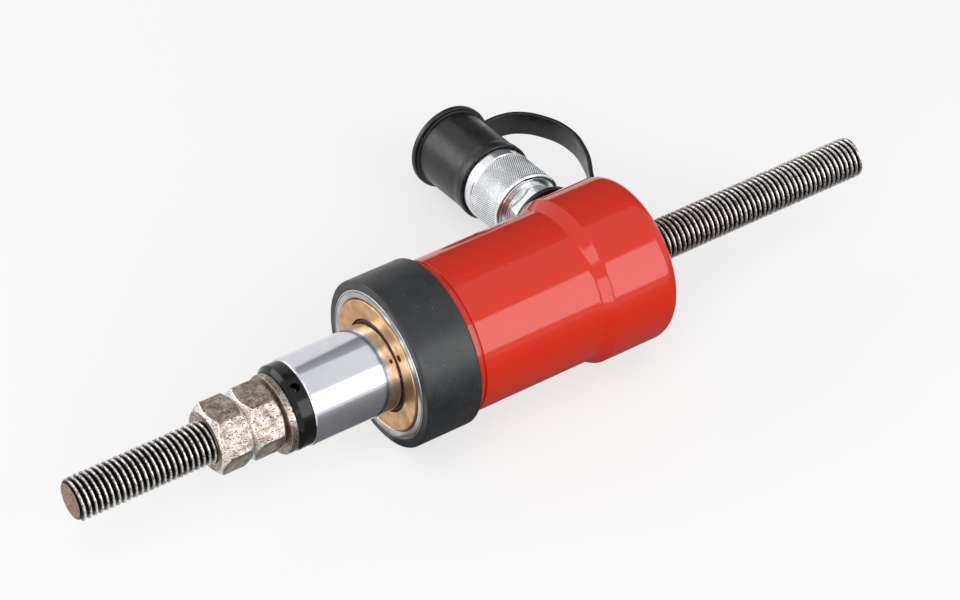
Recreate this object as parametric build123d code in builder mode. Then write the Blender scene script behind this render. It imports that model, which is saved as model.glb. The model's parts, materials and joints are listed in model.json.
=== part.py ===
from build123d import *
import os
from math import asin, atan2, cos, hypot, pi, radians, sin, tan

# Hollow plunger cylinder with its pull rod, in millimetres.
# X runs along the cylinder from the base to the plunger's front, and Z is up from the bench.
# The origin is the centre of the base's rear face. The plunger is modelled run out by its stroke.

os.makedirs("parts", exist_ok=True)

# Fits and gaps
RUNNING_FIT = 0.05
SEAL_PLAY = 0.08
FACE_GAP = 0.1
SOFT_GAP = 0.3
DRAIN_GAP = 0.5
# Half the width of an O-ring's groove, as a share of the ring's section
GROOVE_SHARE = 0.7
# The share of a strap's run that the arc at its end may take
ARC_SHARE = 0.45

# Cylinder body
STROKE = 40.0
BODY_LENGTH = 125.0
STEP_DROP = 2.9
STEP_START = 32.5
STEP_SLOPE = 30.0
STEP_CREST_FILLET = 4.0
STEP_ROOT_FILLET = 13.0
REAR_FILLET = 6.0
BASE_THICKNESS = 11.0
WALL_THICKNESS = 9.0
NOSE_DROP = 0.8
NOSE_LENGTH = 26.3
NOSE_CHAMFER = 0.6
FLANGE_LENGTH = 3.0
FLANGE_EDGE = 0.3
FLANGE_GROOVE_WIDTH = 1.0
FLANGE_GROOVE_DEPTH = 0.9
FACE_LINE_SETBACK = 1.1
FACE_LINE_WIDTH = 0.35
FACE_LINE_DEPTH = 0.5
BUSH_SEAT_STEP = 1.3
BUSH_SEAT_DEPTH = 18.0
BUSH_SEAT_CHAMFER = 0.7

# Centre tube, which the hollow plunger slides on
TUBE_CLEARANCE = 1.0
TUBE_WALL = 2.5
TUBE_FRONT_GAP = 2.0
TUBE_RECESS = 0.5
TUBE_EDGE = 0.5

# Plunger
PLUNGER_WALL = 6.1
PISTON_WIDTH = 8.4
PLUNGER_PROUD = 0.2
PLUNGER_EDGE = 0.9
HEAD_LENGTH = 22.0
PILOT_LENGTH = 6.0
PILOT_CLEARANCE = 2.5
HEAD_EDGE = 0.6
MOUTH_STEP = 1.5
MOUTH_DEPTH = 14.4
WEAR_RING_WIDTH = 5.0
WEAR_RING_DEPTH = 1.5
WEAR_RING_SETBACK = 2.0
PISTON_SEAL_WIDTH = 4.5
PISTON_SEAL_DEPTH = 3.8
SEAL_LAND = 2.0
INNER_SEAL_WIDTH = 4.0
INNER_SEAL_DEPTH = 2.3
INNER_SEAL_SETBACK = 8.0

# Return spring
SPRING_WIRE = 3.6
SPRING_TURNS = 6.5

# Guide bush with its seals
BUSH_PROUD = 0.5
BUSH_EDGE = 0.7
BUSH_RECESS_WIDTH = 1.4
BUSH_RECESS_DEPTH = 3.0
WIPER_WIDTH = 2.2
WIPER_LIP = 0.5
ROD_SEAL_WIDTH = 4.5
ROD_SEAL_DEPTH = 3.2
ROD_SEAL_SETBACK = 7.0
PIN_HOLE_DEPTH = 3.0
PIN_HOLE_ANGLE = 48.0
STAKE_RADIUS = 0.8
STAKE_ANGLE = 154.0
STAKE_TAPER = 30.0
# Shares of the bush's front face, from its recess outward
PIN_HOLE_SIZE_SHARE = 0.18
PIN_HOLE_PLACE_SHARE = 0.32
STAKE_PLACE_SHARE = 0.735
BUSH_SEAL_SECTION = 2.0
BUSH_SEAL_SETBACK = 5.0
TUBE_SEAL_SECTION = 1.8

# Thread guard over the nose
GUARD_EDGE = 0.9
GUARD_FRONT_SETBACK = 0.3
GUARD_BORE_CHAMFER = 0.4

# Saddle in the plunger's mouth
SADDLE_SETBACK = 0.6
SADDLE_THICKNESS = 7.0
SADDLE_CHAMFER = 1.7
SADDLE_BORE_CHAMFER = 0.8
SADDLE_SHANK_LENGTH = 14.0
TOMMY_RADIUS = 2.0
TOMMY_SETBACK = 3.2
TOMMY_DEPTH = 5.0
TOMMY_ANGLE = 67.0

# Pull rod, washer and nuts
ROD_RADIUS = 9.0
ROD_SHANK_STEP = 0.8
ROD_REAR_REACH = 118.5
ROD_FRONT_REACH = 59.6
ROD_REAR_THREAD = 20.0
ROD_FRONT_THREAD = 150.0
ROD_END_CHAMFER = 1.5
ROD_REAR_CHAMFER = 0.8
WASHER_WIDTH = 6.3
WASHER_PLAY = 1.5
WASHER_THICKNESS = 3.0
WASHER_EDGE = 0.4
NUT_ACROSS_FLATS = 27.0
NUT_THICKNESS = 14.6
NUT_FACE_RADIUS = 12.5
NUT_CHAMFER_SLOPE = 40.0
NUT_CORNER_ANGLE = 6.4
NUT_THREAD_CHAMFER = 0.8

# Port and coupler, measured along the port's axis from the cylinder's axis
PORT_X = 15.0
PORT_DRILLING = 2.0
PORT_FLOOR_DEPTH = 9.0
PORT_BREAKTHROUGH = 4.0
BOSS_RADIUS = 14.0
BOSS_STAND = 2.0
BOSS_EDGE = 0.8
NIPPLE_THREAD_RADIUS = 8.2
NIPPLE_PORT_GAP = 0.1
NIPPLE_END_GAP = 0.5
NIPPLE_BORE = 3.0
NECK_RADIUS = 11.0
NECK_LENGTH = 3.0
NIPPLE_HEX = 22.0
NIPPLE_HEX_LENGTH = 9.5
NIPPLE_HEX_CHAMFER = 0.8
NIPPLE_HEX_BEVEL = 1.3
STUB_RADIUS = 9.0
STUB_LENGTH = 9.5
COUPLER_WALL = 4.42
COUPLER_LENGTH = 33.5
CHAMBER_RADIUS = 5.5
CHAMBER_LENGTH = 9.5
VALVE_SEAT_RADIUS = 3.5
SOCKET_RADIUS = 8.0
SOCKET_DEPTH = 13.0
COUPLER_SEAL_SECTION = 1.8
COUPLER_SEAL_SETBACK = 5.0
RETAINING_RING_SECTION = 1.6
RETAINING_RING_SETBACK = 6.8
RETAINING_RING_STAND = 0.9
RETAINING_RING_OPENING = 24.0
POPPET_PLAY = 0.2
POPPET_GUIDE_LENGTH = 3.0
POPPET_STEM_RADIUS = 2.0
POPPET_STEM_REACH = 5.5
POPPET_FLAT_DEPTH = 1.0
POPPET_SPRING_WIRE = 0.7
POPPET_SPRING_TURNS = 3.0
POPPET_SPRING_SETBACK = 1.6

# Screwed collar round the coupler
COLLAR_WALL = 2.5
COLLAR_LENGTH = 46.0
COLLAR_BACK_GAP = 1.5
COLLAR_LIP_LENGTH = 5.0
COLLAR_LIP_PLAY = 0.08
COLLAR_CAVITY_WIDTH = 1.08
COLLAR_THREAD_STEP = 0.5
COLLAR_THREAD_LENGTH = 14.0
COLLAR_REAR_ROUND = 1.5
COLLAR_DISH_SETBACK = 1.9
COLLAR_DISH_DEPTH = 1.8
COLLAR_FRONT_CHAMFER = 0.8
COLLAR_GROOVE_FROM_BACK = 19.0
COLLAR_GROOVE_WIDTH = 1.0
COLLAR_GROOVE_DEPTH = 0.45

# Dust cap and its strap
CAP_OVERLAP = 21.0
CAP_WALL = 0.6
CAP_LIP_WALL = 1.1
CAP_LIP_LENGTH = 3.0
CAP_ROOM = 10.0
CAP_END_THICKNESS = 5.0
CAP_FLANGE_WIDTH = 2.9
CAP_FLANGE_THICKNESS = 2.5
CAP_FLANGE_EDGE = 0.5
STRAP_WIDTH = 11.0
STRAP_THICKNESS = 2.0
STRAP_RING_WIDTH = 5.8
STRAP_RING_THICKNESS = 2.2
STRAP_RING_LIFT = 0.4
# Strap route from the ring to the cap: share of the way up, distance out from the coupler's axis
STRAP_ROUTE = [
    (0.02, 24.0),
    (0.20, 34.2),
    (0.42, 42.0),
    (0.63, 44.9),
    (0.82, 41.9),
    (0.96, 34.4),
    (1.0, 27.4),
]

# Radii that follow from the rod's outward
ROD_SHANK_RADIUS = ROD_RADIUS - ROD_SHANK_STEP
WASHER_BORE = ROD_RADIUS + WASHER_PLAY
WASHER_RADIUS = WASHER_BORE + WASHER_WIDTH
TUBE_BORE = ROD_RADIUS + TUBE_CLEARANCE
TUBE_RADIUS = TUBE_BORE + TUBE_WALL
MOUTH_RADIUS = TUBE_RADIUS + MOUTH_STEP
PLUNGER_RADIUS = TUBE_RADIUS + PLUNGER_WALL
SADDLE_RADIUS = PLUNGER_RADIUS - SADDLE_SETBACK
SADDLE_BORE = TUBE_BORE
BUSH_RECESS_RADIUS = PLUNGER_RADIUS + BUSH_RECESS_WIDTH
BORE_RADIUS = PLUNGER_RADIUS + PISTON_WIDTH
BODY_RADIUS = BORE_RADIUS + WALL_THICKNESS
FRONT_RADIUS = BODY_RADIUS - STEP_DROP
NOSE_RADIUS = FRONT_RADIUS - NOSE_DROP
GUARD_RADIUS = BODY_RADIUS
BUSH_SEAT_RADIUS = BORE_RADIUS + BUSH_SEAT_STEP
FACE_LINE_RADIUS = NOSE_RADIUS - FACE_LINE_SETBACK
PILOT_RADIUS = BORE_RADIUS - PILOT_CLEARANCE
SPRING_MEAN_RADIUS = (PLUNGER_RADIUS + BORE_RADIUS) / 2
BUSH_FACE_WIDTH = BUSH_SEAT_RADIUS - BUSH_RECESS_RADIUS
PIN_HOLE_RADIUS = PIN_HOLE_SIZE_SHARE * BUSH_FACE_WIDTH
PIN_HOLE_CIRCLE = BUSH_RECESS_RADIUS + PIN_HOLE_PLACE_SHARE * BUSH_FACE_WIDTH
STAKE_CIRCLE = BUSH_RECESS_RADIUS + STAKE_PLACE_SHARE * BUSH_FACE_WIDTH

# Radii round the port's axis that follow from the coupler's socket, its chamber and the nipple's neck
COUPLER_RADIUS = SOCKET_RADIUS + COUPLER_WALL
COLLAR_CAVITY_RADIUS = COUPLER_RADIUS + COLLAR_CAVITY_WIDTH
COLLAR_THREAD_RADIUS = COLLAR_CAVITY_RADIUS + COLLAR_THREAD_STEP
COLLAR_RADIUS = COLLAR_THREAD_RADIUS + COLLAR_WALL
COLLAR_DISH_RADIUS = COLLAR_RADIUS - COLLAR_DISH_SETBACK
CAP_FLANGE_RADIUS = COLLAR_RADIUS + CAP_FLANGE_WIDTH
POPPET_GUIDE_RADIUS = CHAMBER_RADIUS - POPPET_PLAY
POPPET_SPRING_RADIUS = CHAMBER_RADIUS - POPPET_SPRING_SETBACK
STRAP_RING_RADIUS = NECK_RADIUS + STRAP_RING_WIDTH

# Places along X that follow from the sizes above
NOSE_START = BODY_LENGTH - NOSE_LENGTH
FLANGE_START = NOSE_START - FLANGE_LENGTH
GROOVE_START = FLANGE_START - FLANGE_GROOVE_WIDTH
STEP_END = STEP_START + (BODY_RADIUS - FRONT_RADIUS) / tan(radians(STEP_SLOPE))
BUSH_REAR = BODY_LENGTH - BUSH_SEAT_DEPTH
BUSH_FRONT = BODY_LENGTH + BUSH_PROUD
HEAD_REAR = BASE_THICKNESS + DRAIN_GAP + STROKE
HEAD_FRONT = HEAD_REAR + HEAD_LENGTH
PLUNGER_FRONT = BODY_LENGTH + STROKE + PLUNGER_PROUD
SADDLE_FRONT = PLUNGER_FRONT + SADDLE_THICKNESS
WASHER_START = SADDLE_FRONT + FACE_GAP
INNER_NUT_START = WASHER_START + WASHER_THICKNESS + FACE_GAP
OUTER_NUT_START = INNER_NUT_START + NUT_THICKNESS + FACE_GAP
ROD_FRONT = OUTER_NUT_START + NUT_THICKNESS + ROD_FRONT_REACH

# Heights along the port's axis that follow from the sizes above
BOSS_HEIGHT = BODY_RADIUS + BOSS_STAND
PORT_FLOOR = BOSS_HEIGHT - PORT_FLOOR_DEPTH
HEX_BOTTOM = BOSS_HEIGHT + NECK_LENGTH
HEX_TOP = HEX_BOTTOM + NIPPLE_HEX_LENGTH
COUPLER_TOP = HEX_TOP + COUPLER_LENGTH
SOCKET_FLOOR = COUPLER_TOP - SOCKET_DEPTH
CHAMBER_FLOOR = HEX_TOP + STUB_LENGTH + NIPPLE_END_GAP
CHAMBER_TOP = CHAMBER_FLOOR + CHAMBER_LENGTH
RING_BOTTOM = HEX_TOP + RETAINING_RING_SETBACK
COLLAR_BOTTOM = HEX_TOP + COLLAR_BACK_GAP
COLLAR_TOP = COLLAR_BOTTOM + COLLAR_LENGTH
CAP_MOUTH = COLLAR_TOP - CAP_OVERLAP
CAP_BORE = COLLAR_RADIUS + SOFT_GAP
CAP_INNER_END = COLLAR_TOP + CAP_ROOM
CAP_END = CAP_INNER_END + CAP_END_THICKNESS
STRAP_RING_BOTTOM = BOSS_HEIGHT + STRAP_RING_LIFT

# The cylinder lies on its body and on the cap's flange, which sets the port's angle below the horizontal
CAP_CONTACT_HEIGHT = CAP_END - CAP_FLANGE_EDGE
CAP_CONTACT_REACH = hypot(CAP_CONTACT_HEIGHT, CAP_FLANGE_RADIUS)
PORT_DROP = asin(BODY_RADIUS / CAP_CONTACT_REACH) - atan2(CAP_FLANGE_RADIUS, CAP_CONTACT_HEIGHT)
PORT_DIRECTION = Vector(0, -cos(PORT_DROP), -sin(PORT_DROP))
PORT_ORIGIN = Vector(PORT_X, 0, 0)
PORT_AXIS = Axis(PORT_ORIGIN, PORT_DIRECTION)
PORT_SECTION = Plane(origin=PORT_ORIGIN, x_dir=PORT_DIRECTION, z_dir=(1, 0, 0))
STRAP_PLANE = Plane(origin=PORT_ORIGIN, x_dir=(-1, 0, 0), z_dir=Vector(-1, 0, 0).cross(PORT_DIRECTION))

# The washer hangs on the rod by its bore
WASHER_DROP = WASHER_BORE - ROD_RADIUS - RUNNING_FIT
WASHER_SECTION = Plane.XY.offset(-WASHER_DROP)
WASHER_AXIS = Axis(WASHER_SECTION.origin, (1, 0, 0))


def port_plane(height):
    """The plane across the port's axis at a height above the cylinder's axis."""
    return Plane(origin=PORT_ORIGIN + PORT_DIRECTION * height, x_dir=(1, 0, 0), z_dir=PORT_DIRECTION)


def half_section(outline, plane=Plane.XY):
    """The face inside a closed outline of (distance along the axis, radius) points."""
    with BuildSketch(plane) as section:
        with BuildLine():
            Polyline(*outline, close=True)
        make_face()
    return section.sketch


def tube_outline(start, end, inner, outer):
    """The half outline of a plain ring between two distances and two radii."""
    return [(start, inner), (start, outer), (end, outer), (end, inner)]


def torus_section(middle, radius, section, plane=Plane.XY):
    """The round section of an O-ring of a given section radius."""
    with BuildSketch(plane) as ring:
        with Locations((middle, radius)):
            Circle(section)
    return ring.sketch


def rings_of(part, radius, tolerance=0.01):
    """The circular edges of a part that have a given radius."""
    circles = part.edges().filter_by(GeomType.CIRCLE)
    return circles.filter_by(lambda edge: abs(edge.radius - radius) < tolerance)


def nut(start):
    """A hexagon nut with both faces chamfered and a countersunk thread."""
    corner_radius = NUT_ACROSS_FLATS / 2 / cos(pi / 6)
    chamfer_depth = (corner_radius - NUT_FACE_RADIUS) * tan(radians(NUT_CHAMFER_SLOPE))
    end = start + NUT_THICKNESS
    bore = ROD_RADIUS + RUNNING_FIT
    turned_outline = [
        (start, bore + NUT_THREAD_CHAMFER),
        (start, NUT_FACE_RADIUS),
        (start + chamfer_depth, corner_radius),
        (end - chamfer_depth, corner_radius),
        (end, NUT_FACE_RADIUS),
        (end, bore + NUT_THREAD_CHAMFER),
        (end - NUT_THREAD_CHAMFER, bore),
        (start + NUT_THREAD_CHAMFER, bore),
    ]
    with BuildPart() as blank:
        with BuildSketch(Plane.YZ.offset(start)):
            RegularPolygon(NUT_ACROSS_FLATS / 2, 6, major_radius=False, rotation=NUT_CORNER_ANGLE)
        extrude(amount=NUT_THICKNESS)
        add(revolve(half_section(turned_outline), axis=Axis.X, mode=Mode.PRIVATE), mode=Mode.INTERSECT)
    return blank.part


# Cylinder body: turned outside, spot-faced boss for the port, bored from the front
outer_outline = [
    (0, TUBE_RADIUS),
    (0, BODY_RADIUS),
    (STEP_START, BODY_RADIUS),
    (STEP_END, FRONT_RADIUS),
    (GROOVE_START, FRONT_RADIUS),
    (GROOVE_START, FRONT_RADIUS - FLANGE_GROOVE_DEPTH),
    (FLANGE_START, FRONT_RADIUS - FLANGE_GROOVE_DEPTH),
    (FLANGE_START, FRONT_RADIUS),
    (NOSE_START, FRONT_RADIUS),
    (NOSE_START, NOSE_RADIUS),
    (BODY_LENGTH - NOSE_CHAMFER, NOSE_RADIUS),
    (BODY_LENGTH, NOSE_RADIUS - NOSE_CHAMFER),
    (BODY_LENGTH, TUBE_RADIUS),
]
bore_outline = [
    (BASE_THICKNESS, 0),
    (BASE_THICKNESS, BORE_RADIUS),
    (BUSH_REAR, BORE_RADIUS),
    (BUSH_REAR, BUSH_SEAT_RADIUS),
    (BODY_LENGTH - BUSH_SEAT_CHAMFER, BUSH_SEAT_RADIUS),
    (BODY_LENGTH, BUSH_SEAT_RADIUS + BUSH_SEAT_CHAMFER),
    (BODY_LENGTH, 0),
]
tube_seal_middle = BASE_THICKNESS / 2
tube_groove_half = GROOVE_SHARE * TUBE_SEAL_SECTION
tube_seal_radius = TUBE_SEAL_SECTION / 2 - SEAL_PLAY / 2
with BuildPart() as cylinder_body:
    revolve(half_section(outer_outline), axis=Axis.X)
    step_edges = rings_of(cylinder_body, BODY_RADIUS).sort_by(Axis.X)
    fillet(step_edges[-1], radius=STEP_CREST_FILLET)
    root_edges = rings_of(cylinder_body, FRONT_RADIUS).sort_by(Axis.X)
    fillet(root_edges[0], radius=STEP_ROOT_FILLET)
    fillet(rings_of(cylinder_body, BODY_RADIUS).sort_by(Axis.X)[0], radius=REAR_FILLET)
    flange_edges = rings_of(cylinder_body, FRONT_RADIUS).sort_by(Axis.X)
    chamfer(flange_edges[-3:], length=FLANGE_EDGE)
    with BuildSketch(port_plane(BORE_RADIUS)):
        Circle(BOSS_RADIUS)
    extrude(amount=BOSS_HEIGHT - BORE_RADIUS)
    chamfer(rings_of(cylinder_body, BOSS_RADIUS).sort_by(Axis.Y)[0], length=BOSS_EDGE)
    revolve(half_section(bore_outline), axis=Axis.X, mode=Mode.SUBTRACT)
    revolve(
        half_section(tube_outline(
            BODY_LENGTH - FACE_LINE_DEPTH, BODY_LENGTH, FACE_LINE_RADIUS, FACE_LINE_RADIUS + FACE_LINE_WIDTH,
        )),
        axis=Axis.X, mode=Mode.SUBTRACT,
    )
    revolve(
        half_section(tube_outline(
            tube_seal_middle - tube_groove_half, tube_seal_middle + tube_groove_half,
            TUBE_RADIUS, TUBE_RADIUS + TUBE_SEAL_SECTION,
        )),
        axis=Axis.X, mode=Mode.SUBTRACT,
    )
    with BuildSketch(port_plane(BOSS_HEIGHT)):
        Circle(NIPPLE_THREAD_RADIUS + NIPPLE_PORT_GAP)
    extrude(amount=PORT_FLOOR - BOSS_HEIGHT, mode=Mode.SUBTRACT)
    with BuildSketch(port_plane(PORT_FLOOR)):
        Circle(PORT_DRILLING)
    extrude(amount=BORE_RADIUS - PORT_FLOOR - PORT_BREAKTHROUGH, mode=Mode.SUBTRACT)
cylinder_body.part.label = "cylinder_body"
export_step(cylinder_body.part, "parts/cylinder_body.step")

with BuildPart() as tube_seal:
    revolve(
        torus_section(tube_seal_middle, TUBE_RADIUS + TUBE_SEAL_SECTION / 2, tube_seal_radius),
        axis=Axis.X,
    )
tube_seal.part.label = "tube_seal"
export_step(tube_seal.part, "parts/tube_seal.step")

# Centre tube, with eased ends
tube_front = BUSH_REAR - TUBE_FRONT_GAP
tube_half = [
    (TUBE_RECESS, TUBE_BORE + TUBE_EDGE),
    (TUBE_RECESS, TUBE_RADIUS),
    (tube_front - TUBE_EDGE, TUBE_RADIUS),
    (tube_front, TUBE_RADIUS - TUBE_EDGE),
    (tube_front, TUBE_BORE),
    (TUBE_RECESS + TUBE_EDGE, TUBE_BORE),
]
with BuildPart() as centre_tube:
    revolve(half_section(tube_half), axis=Axis.X)
centre_tube.part.label = "centre_tube"
export_step(centre_tube.part, "parts/centre_tube.step")

# Hollow plunger with its piston head, seal grooves and tapped mouth
wear_start = HEAD_REAR + PILOT_LENGTH + WEAR_RING_SETBACK
wear_end = wear_start + WEAR_RING_WIDTH
piston_seal_start = wear_end + SEAL_LAND
piston_seal_end = piston_seal_start + PISTON_SEAL_WIDTH
inner_seal_start = HEAD_REAR + INNER_SEAL_SETBACK
inner_seal_end = inner_seal_start + INNER_SEAL_WIDTH
head_radius = BORE_RADIUS - RUNNING_FIT
plunger_bore = TUBE_RADIUS + RUNNING_FIT
plunger_half = [
    (HEAD_REAR, plunger_bore + HEAD_EDGE),
    (HEAD_REAR, PILOT_RADIUS - HEAD_EDGE),
    (HEAD_REAR + HEAD_EDGE, PILOT_RADIUS),
    (HEAD_REAR + PILOT_LENGTH, PILOT_RADIUS),
    (HEAD_REAR + PILOT_LENGTH, head_radius - HEAD_EDGE),
    (HEAD_REAR + PILOT_LENGTH + HEAD_EDGE, head_radius),
    (wear_start, head_radius),
    (wear_start, head_radius - WEAR_RING_DEPTH),
    (wear_end, head_radius - WEAR_RING_DEPTH),
    (wear_end, head_radius),
    (piston_seal_start, head_radius),
    (piston_seal_start, head_radius - PISTON_SEAL_DEPTH),
    (piston_seal_end, head_radius - PISTON_SEAL_DEPTH),
    (piston_seal_end, head_radius),
    (HEAD_FRONT, head_radius),
    (HEAD_FRONT, PLUNGER_RADIUS),
    (PLUNGER_FRONT - PLUNGER_EDGE, PLUNGER_RADIUS),
    (PLUNGER_FRONT, PLUNGER_RADIUS - PLUNGER_EDGE),
    (PLUNGER_FRONT, MOUTH_RADIUS),
    (PLUNGER_FRONT - MOUTH_DEPTH, MOUTH_RADIUS),
    (PLUNGER_FRONT - MOUTH_DEPTH, plunger_bore),
    (inner_seal_end, plunger_bore),
    (inner_seal_end, plunger_bore + INNER_SEAL_DEPTH),
    (inner_seal_start, plunger_bore + INNER_SEAL_DEPTH),
    (inner_seal_start, plunger_bore),
    (HEAD_REAR + HEAD_EDGE, plunger_bore),
]
with BuildPart() as plunger:
    revolve(half_section(plunger_half), axis=Axis.X)
plunger.part.label = "plunger"
export_step(plunger.part, "parts/plunger.step")

with BuildPart() as wear_ring:
    revolve(
        half_section(tube_outline(
            wear_start + SEAL_PLAY, wear_end - SEAL_PLAY,
            head_radius - WEAR_RING_DEPTH + SEAL_PLAY, head_radius,
        )),
        axis=Axis.X,
    )
wear_ring.part.label = "wear_ring"
export_step(wear_ring.part, "parts/wear_ring.step")

with BuildPart() as piston_seal:
    revolve(
        half_section(tube_outline(
            piston_seal_start + SEAL_PLAY, piston_seal_end - SEAL_PLAY,
            head_radius - PISTON_SEAL_DEPTH + SEAL_PLAY, head_radius,
        )),
        axis=Axis.X,
    )
piston_seal.part.label = "piston_seal"
export_step(piston_seal.part, "parts/piston_seal.step")

with BuildPart() as inner_seal:
    revolve(
        half_section(tube_outline(
            inner_seal_start + SEAL_PLAY, inner_seal_end - SEAL_PLAY,
            plunger_bore, plunger_bore + INNER_SEAL_DEPTH - SEAL_PLAY,
        )),
        axis=Axis.X,
    )
inner_seal.part.label = "inner_seal"
export_step(inner_seal.part, "parts/inner_seal.step")

# Return spring between the piston head and the guide bush, shown compressed
spring_room = BUSH_REAR - HEAD_FRONT - 2 * FACE_GAP - SPRING_WIRE
spring_start = HEAD_FRONT + FACE_GAP + SPRING_WIRE / 2
with BuildPart() as return_spring:
    with BuildLine() as spring_line:
        Helix(
            pitch=spring_room / SPRING_TURNS, height=spring_room, radius=SPRING_MEAN_RADIUS,
            center=(spring_start, 0, 0), direction=(1, 0, 0),
        )
    with BuildSketch(spring_line.line ^ 0):
        Circle(SPRING_WIRE / 2)
    sweep(path=spring_line.line, is_frenet=True)
return_spring.part.label = "return_spring"
export_step(return_spring.part, "parts/return_spring.step")

# Guide bush: pilots the plunger, holds the rod seal and the wiper, and screws into the body's mouth
bush_radius = BUSH_SEAT_RADIUS - RUNNING_FIT
bush_bore = PLUNGER_RADIUS + RUNNING_FIT
bush_seal_start = BUSH_REAR + BUSH_SEAL_SETBACK
bush_seal_end = bush_seal_start + 2 * GROOVE_SHARE * BUSH_SEAL_SECTION
rod_seal_start = BUSH_REAR + ROD_SEAL_SETBACK
rod_seal_end = rod_seal_start + ROD_SEAL_WIDTH
recess_start = BUSH_FRONT - BUSH_RECESS_DEPTH
bush_half = [
    (BUSH_REAR, bush_bore),
    (BUSH_REAR, bush_radius),
    (bush_seal_start, bush_radius),
    (bush_seal_start, BUSH_SEAT_RADIUS - BUSH_SEAL_SECTION),
    (bush_seal_end, BUSH_SEAT_RADIUS - BUSH_SEAL_SECTION),
    (bush_seal_end, bush_radius),
    (BUSH_FRONT - BUSH_EDGE, bush_radius),
    (BUSH_FRONT, bush_radius - BUSH_EDGE),
    (BUSH_FRONT, BUSH_RECESS_RADIUS + BUSH_EDGE),
    (BUSH_FRONT - BUSH_EDGE, BUSH_RECESS_RADIUS),
    (recess_start, BUSH_RECESS_RADIUS),
    (recess_start, bush_bore),
    (rod_seal_end, bush_bore),
    (rod_seal_end, bush_bore + ROD_SEAL_DEPTH),
    (rod_seal_start, bush_bore + ROD_SEAL_DEPTH),
    (rod_seal_start, bush_bore),
]
with BuildPart() as guide_bush:
    revolve(half_section(bush_half), axis=Axis.X)
    with BuildSketch(Plane.YZ.offset(BUSH_FRONT)):
        with PolarLocations(PIN_HOLE_CIRCLE, 2, start_angle=PIN_HOLE_ANGLE):
            Circle(PIN_HOLE_RADIUS)
    extrude(amount=-PIN_HOLE_DEPTH, mode=Mode.SUBTRACT)
    with BuildSketch(Plane.YZ.offset(BUSH_FRONT)):
        with PolarLocations(STAKE_CIRCLE, 1, start_angle=STAKE_ANGLE):
            Circle(STAKE_RADIUS)
    extrude(amount=-STAKE_RADIUS, taper=STAKE_TAPER, mode=Mode.SUBTRACT)
guide_bush.part.label = "guide_bush"
export_step(guide_bush.part, "parts/guide_bush.step")

with BuildPart() as bush_seal:
    revolve(
        torus_section(
            (bush_seal_start + bush_seal_end) / 2, BUSH_SEAT_RADIUS - BUSH_SEAL_SECTION / 2,
            BUSH_SEAL_SECTION / 2 - SEAL_PLAY / 2,
        ),
        axis=Axis.X,
    )
bush_seal.part.label = "bush_seal"
export_step(bush_seal.part, "parts/bush_seal.step")

with BuildPart() as rod_seal:
    revolve(
        half_section(tube_outline(
            rod_seal_start + SEAL_PLAY, rod_seal_end - SEAL_PLAY,
            PLUNGER_RADIUS + SEAL_PLAY, bush_bore + ROD_SEAL_DEPTH - SEAL_PLAY,
        )),
        axis=Axis.X,
    )
rod_seal.part.label = "rod_seal"
export_step(rod_seal.part, "parts/rod_seal.step")

# Wiper with a lip that leans on the plunger
wiper_end = recess_start + SOFT_GAP + WIPER_WIDTH
wiper_half = [
    (recess_start + SOFT_GAP, PLUNGER_RADIUS + WIPER_LIP),
    (recess_start + SOFT_GAP, BUSH_RECESS_RADIUS - SEAL_PLAY),
    (wiper_end - WIPER_LIP, BUSH_RECESS_RADIUS - SEAL_PLAY),
    (wiper_end, PLUNGER_RADIUS + WIPER_LIP),
    (wiper_end, PLUNGER_RADIUS + SEAL_PLAY),
    (wiper_end - WIPER_LIP, PLUNGER_RADIUS + SEAL_PLAY),
]
with BuildPart() as wiper_ring:
    revolve(half_section(wiper_half), axis=Axis.X)
wiper_ring.part.label = "wiper_ring"
export_step(wiper_ring.part, "parts/wiper_ring.step")

# Thread guard pushed over the nose thread
guard_start = NOSE_START + FACE_GAP
guard_end = BODY_LENGTH - GUARD_FRONT_SETBACK
guard_bore = NOSE_RADIUS + 2 * RUNNING_FIT
guard_half = [
    (guard_start, guard_bore),
    (guard_start, GUARD_RADIUS),
    (guard_end, GUARD_RADIUS),
    (guard_end, guard_bore + GUARD_BORE_CHAMFER),
    (guard_end - GUARD_BORE_CHAMFER, guard_bore),
]
with BuildPart() as thread_guard:
    revolve(half_section(guard_half), axis=Axis.X)
    fillet(rings_of(thread_guard, GUARD_RADIUS), radius=GUARD_EDGE)
thread_guard.part.label = "thread_guard"
export_step(thread_guard.part, "parts/thread_guard.step")

# Hollow saddle: its shank fills the plunger's mouth and its head takes the load of the nuts
saddle_shank = MOUTH_RADIUS - FACE_GAP
saddle_half = [
    (PLUNGER_FRONT - SADDLE_SHANK_LENGTH, SADDLE_BORE),
    (PLUNGER_FRONT - SADDLE_SHANK_LENGTH, saddle_shank - HEAD_EDGE),
    (PLUNGER_FRONT - SADDLE_SHANK_LENGTH + HEAD_EDGE, saddle_shank),
    (PLUNGER_FRONT, saddle_shank),
    (PLUNGER_FRONT, SADDLE_RADIUS),
    (SADDLE_FRONT - SADDLE_CHAMFER, SADDLE_RADIUS),
    (SADDLE_FRONT, SADDLE_RADIUS - SADDLE_CHAMFER),
    (SADDLE_FRONT, SADDLE_BORE + SADDLE_BORE_CHAMFER),
    (SADDLE_FRONT - SADDLE_BORE_CHAMFER, SADDLE_BORE),
]
tommy_x = PLUNGER_FRONT + TOMMY_SETBACK
with BuildPart() as saddle:
    revolve(half_section(saddle_half), axis=Axis.X)
    for tommy_angle in (TOMMY_ANGLE, TOMMY_ANGLE + 180):
        outward = Vector(0, cos(radians(tommy_angle)), sin(radians(tommy_angle)))
        tommy_mouth = Vector(tommy_x, 0, 0) + outward * SADDLE_RADIUS
        with BuildSketch(Plane(origin=tommy_mouth, x_dir=(1, 0, 0), z_dir=outward)):
            Circle(TOMMY_RADIUS)
        extrude(amount=-TOMMY_DEPTH, mode=Mode.SUBTRACT)
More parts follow.
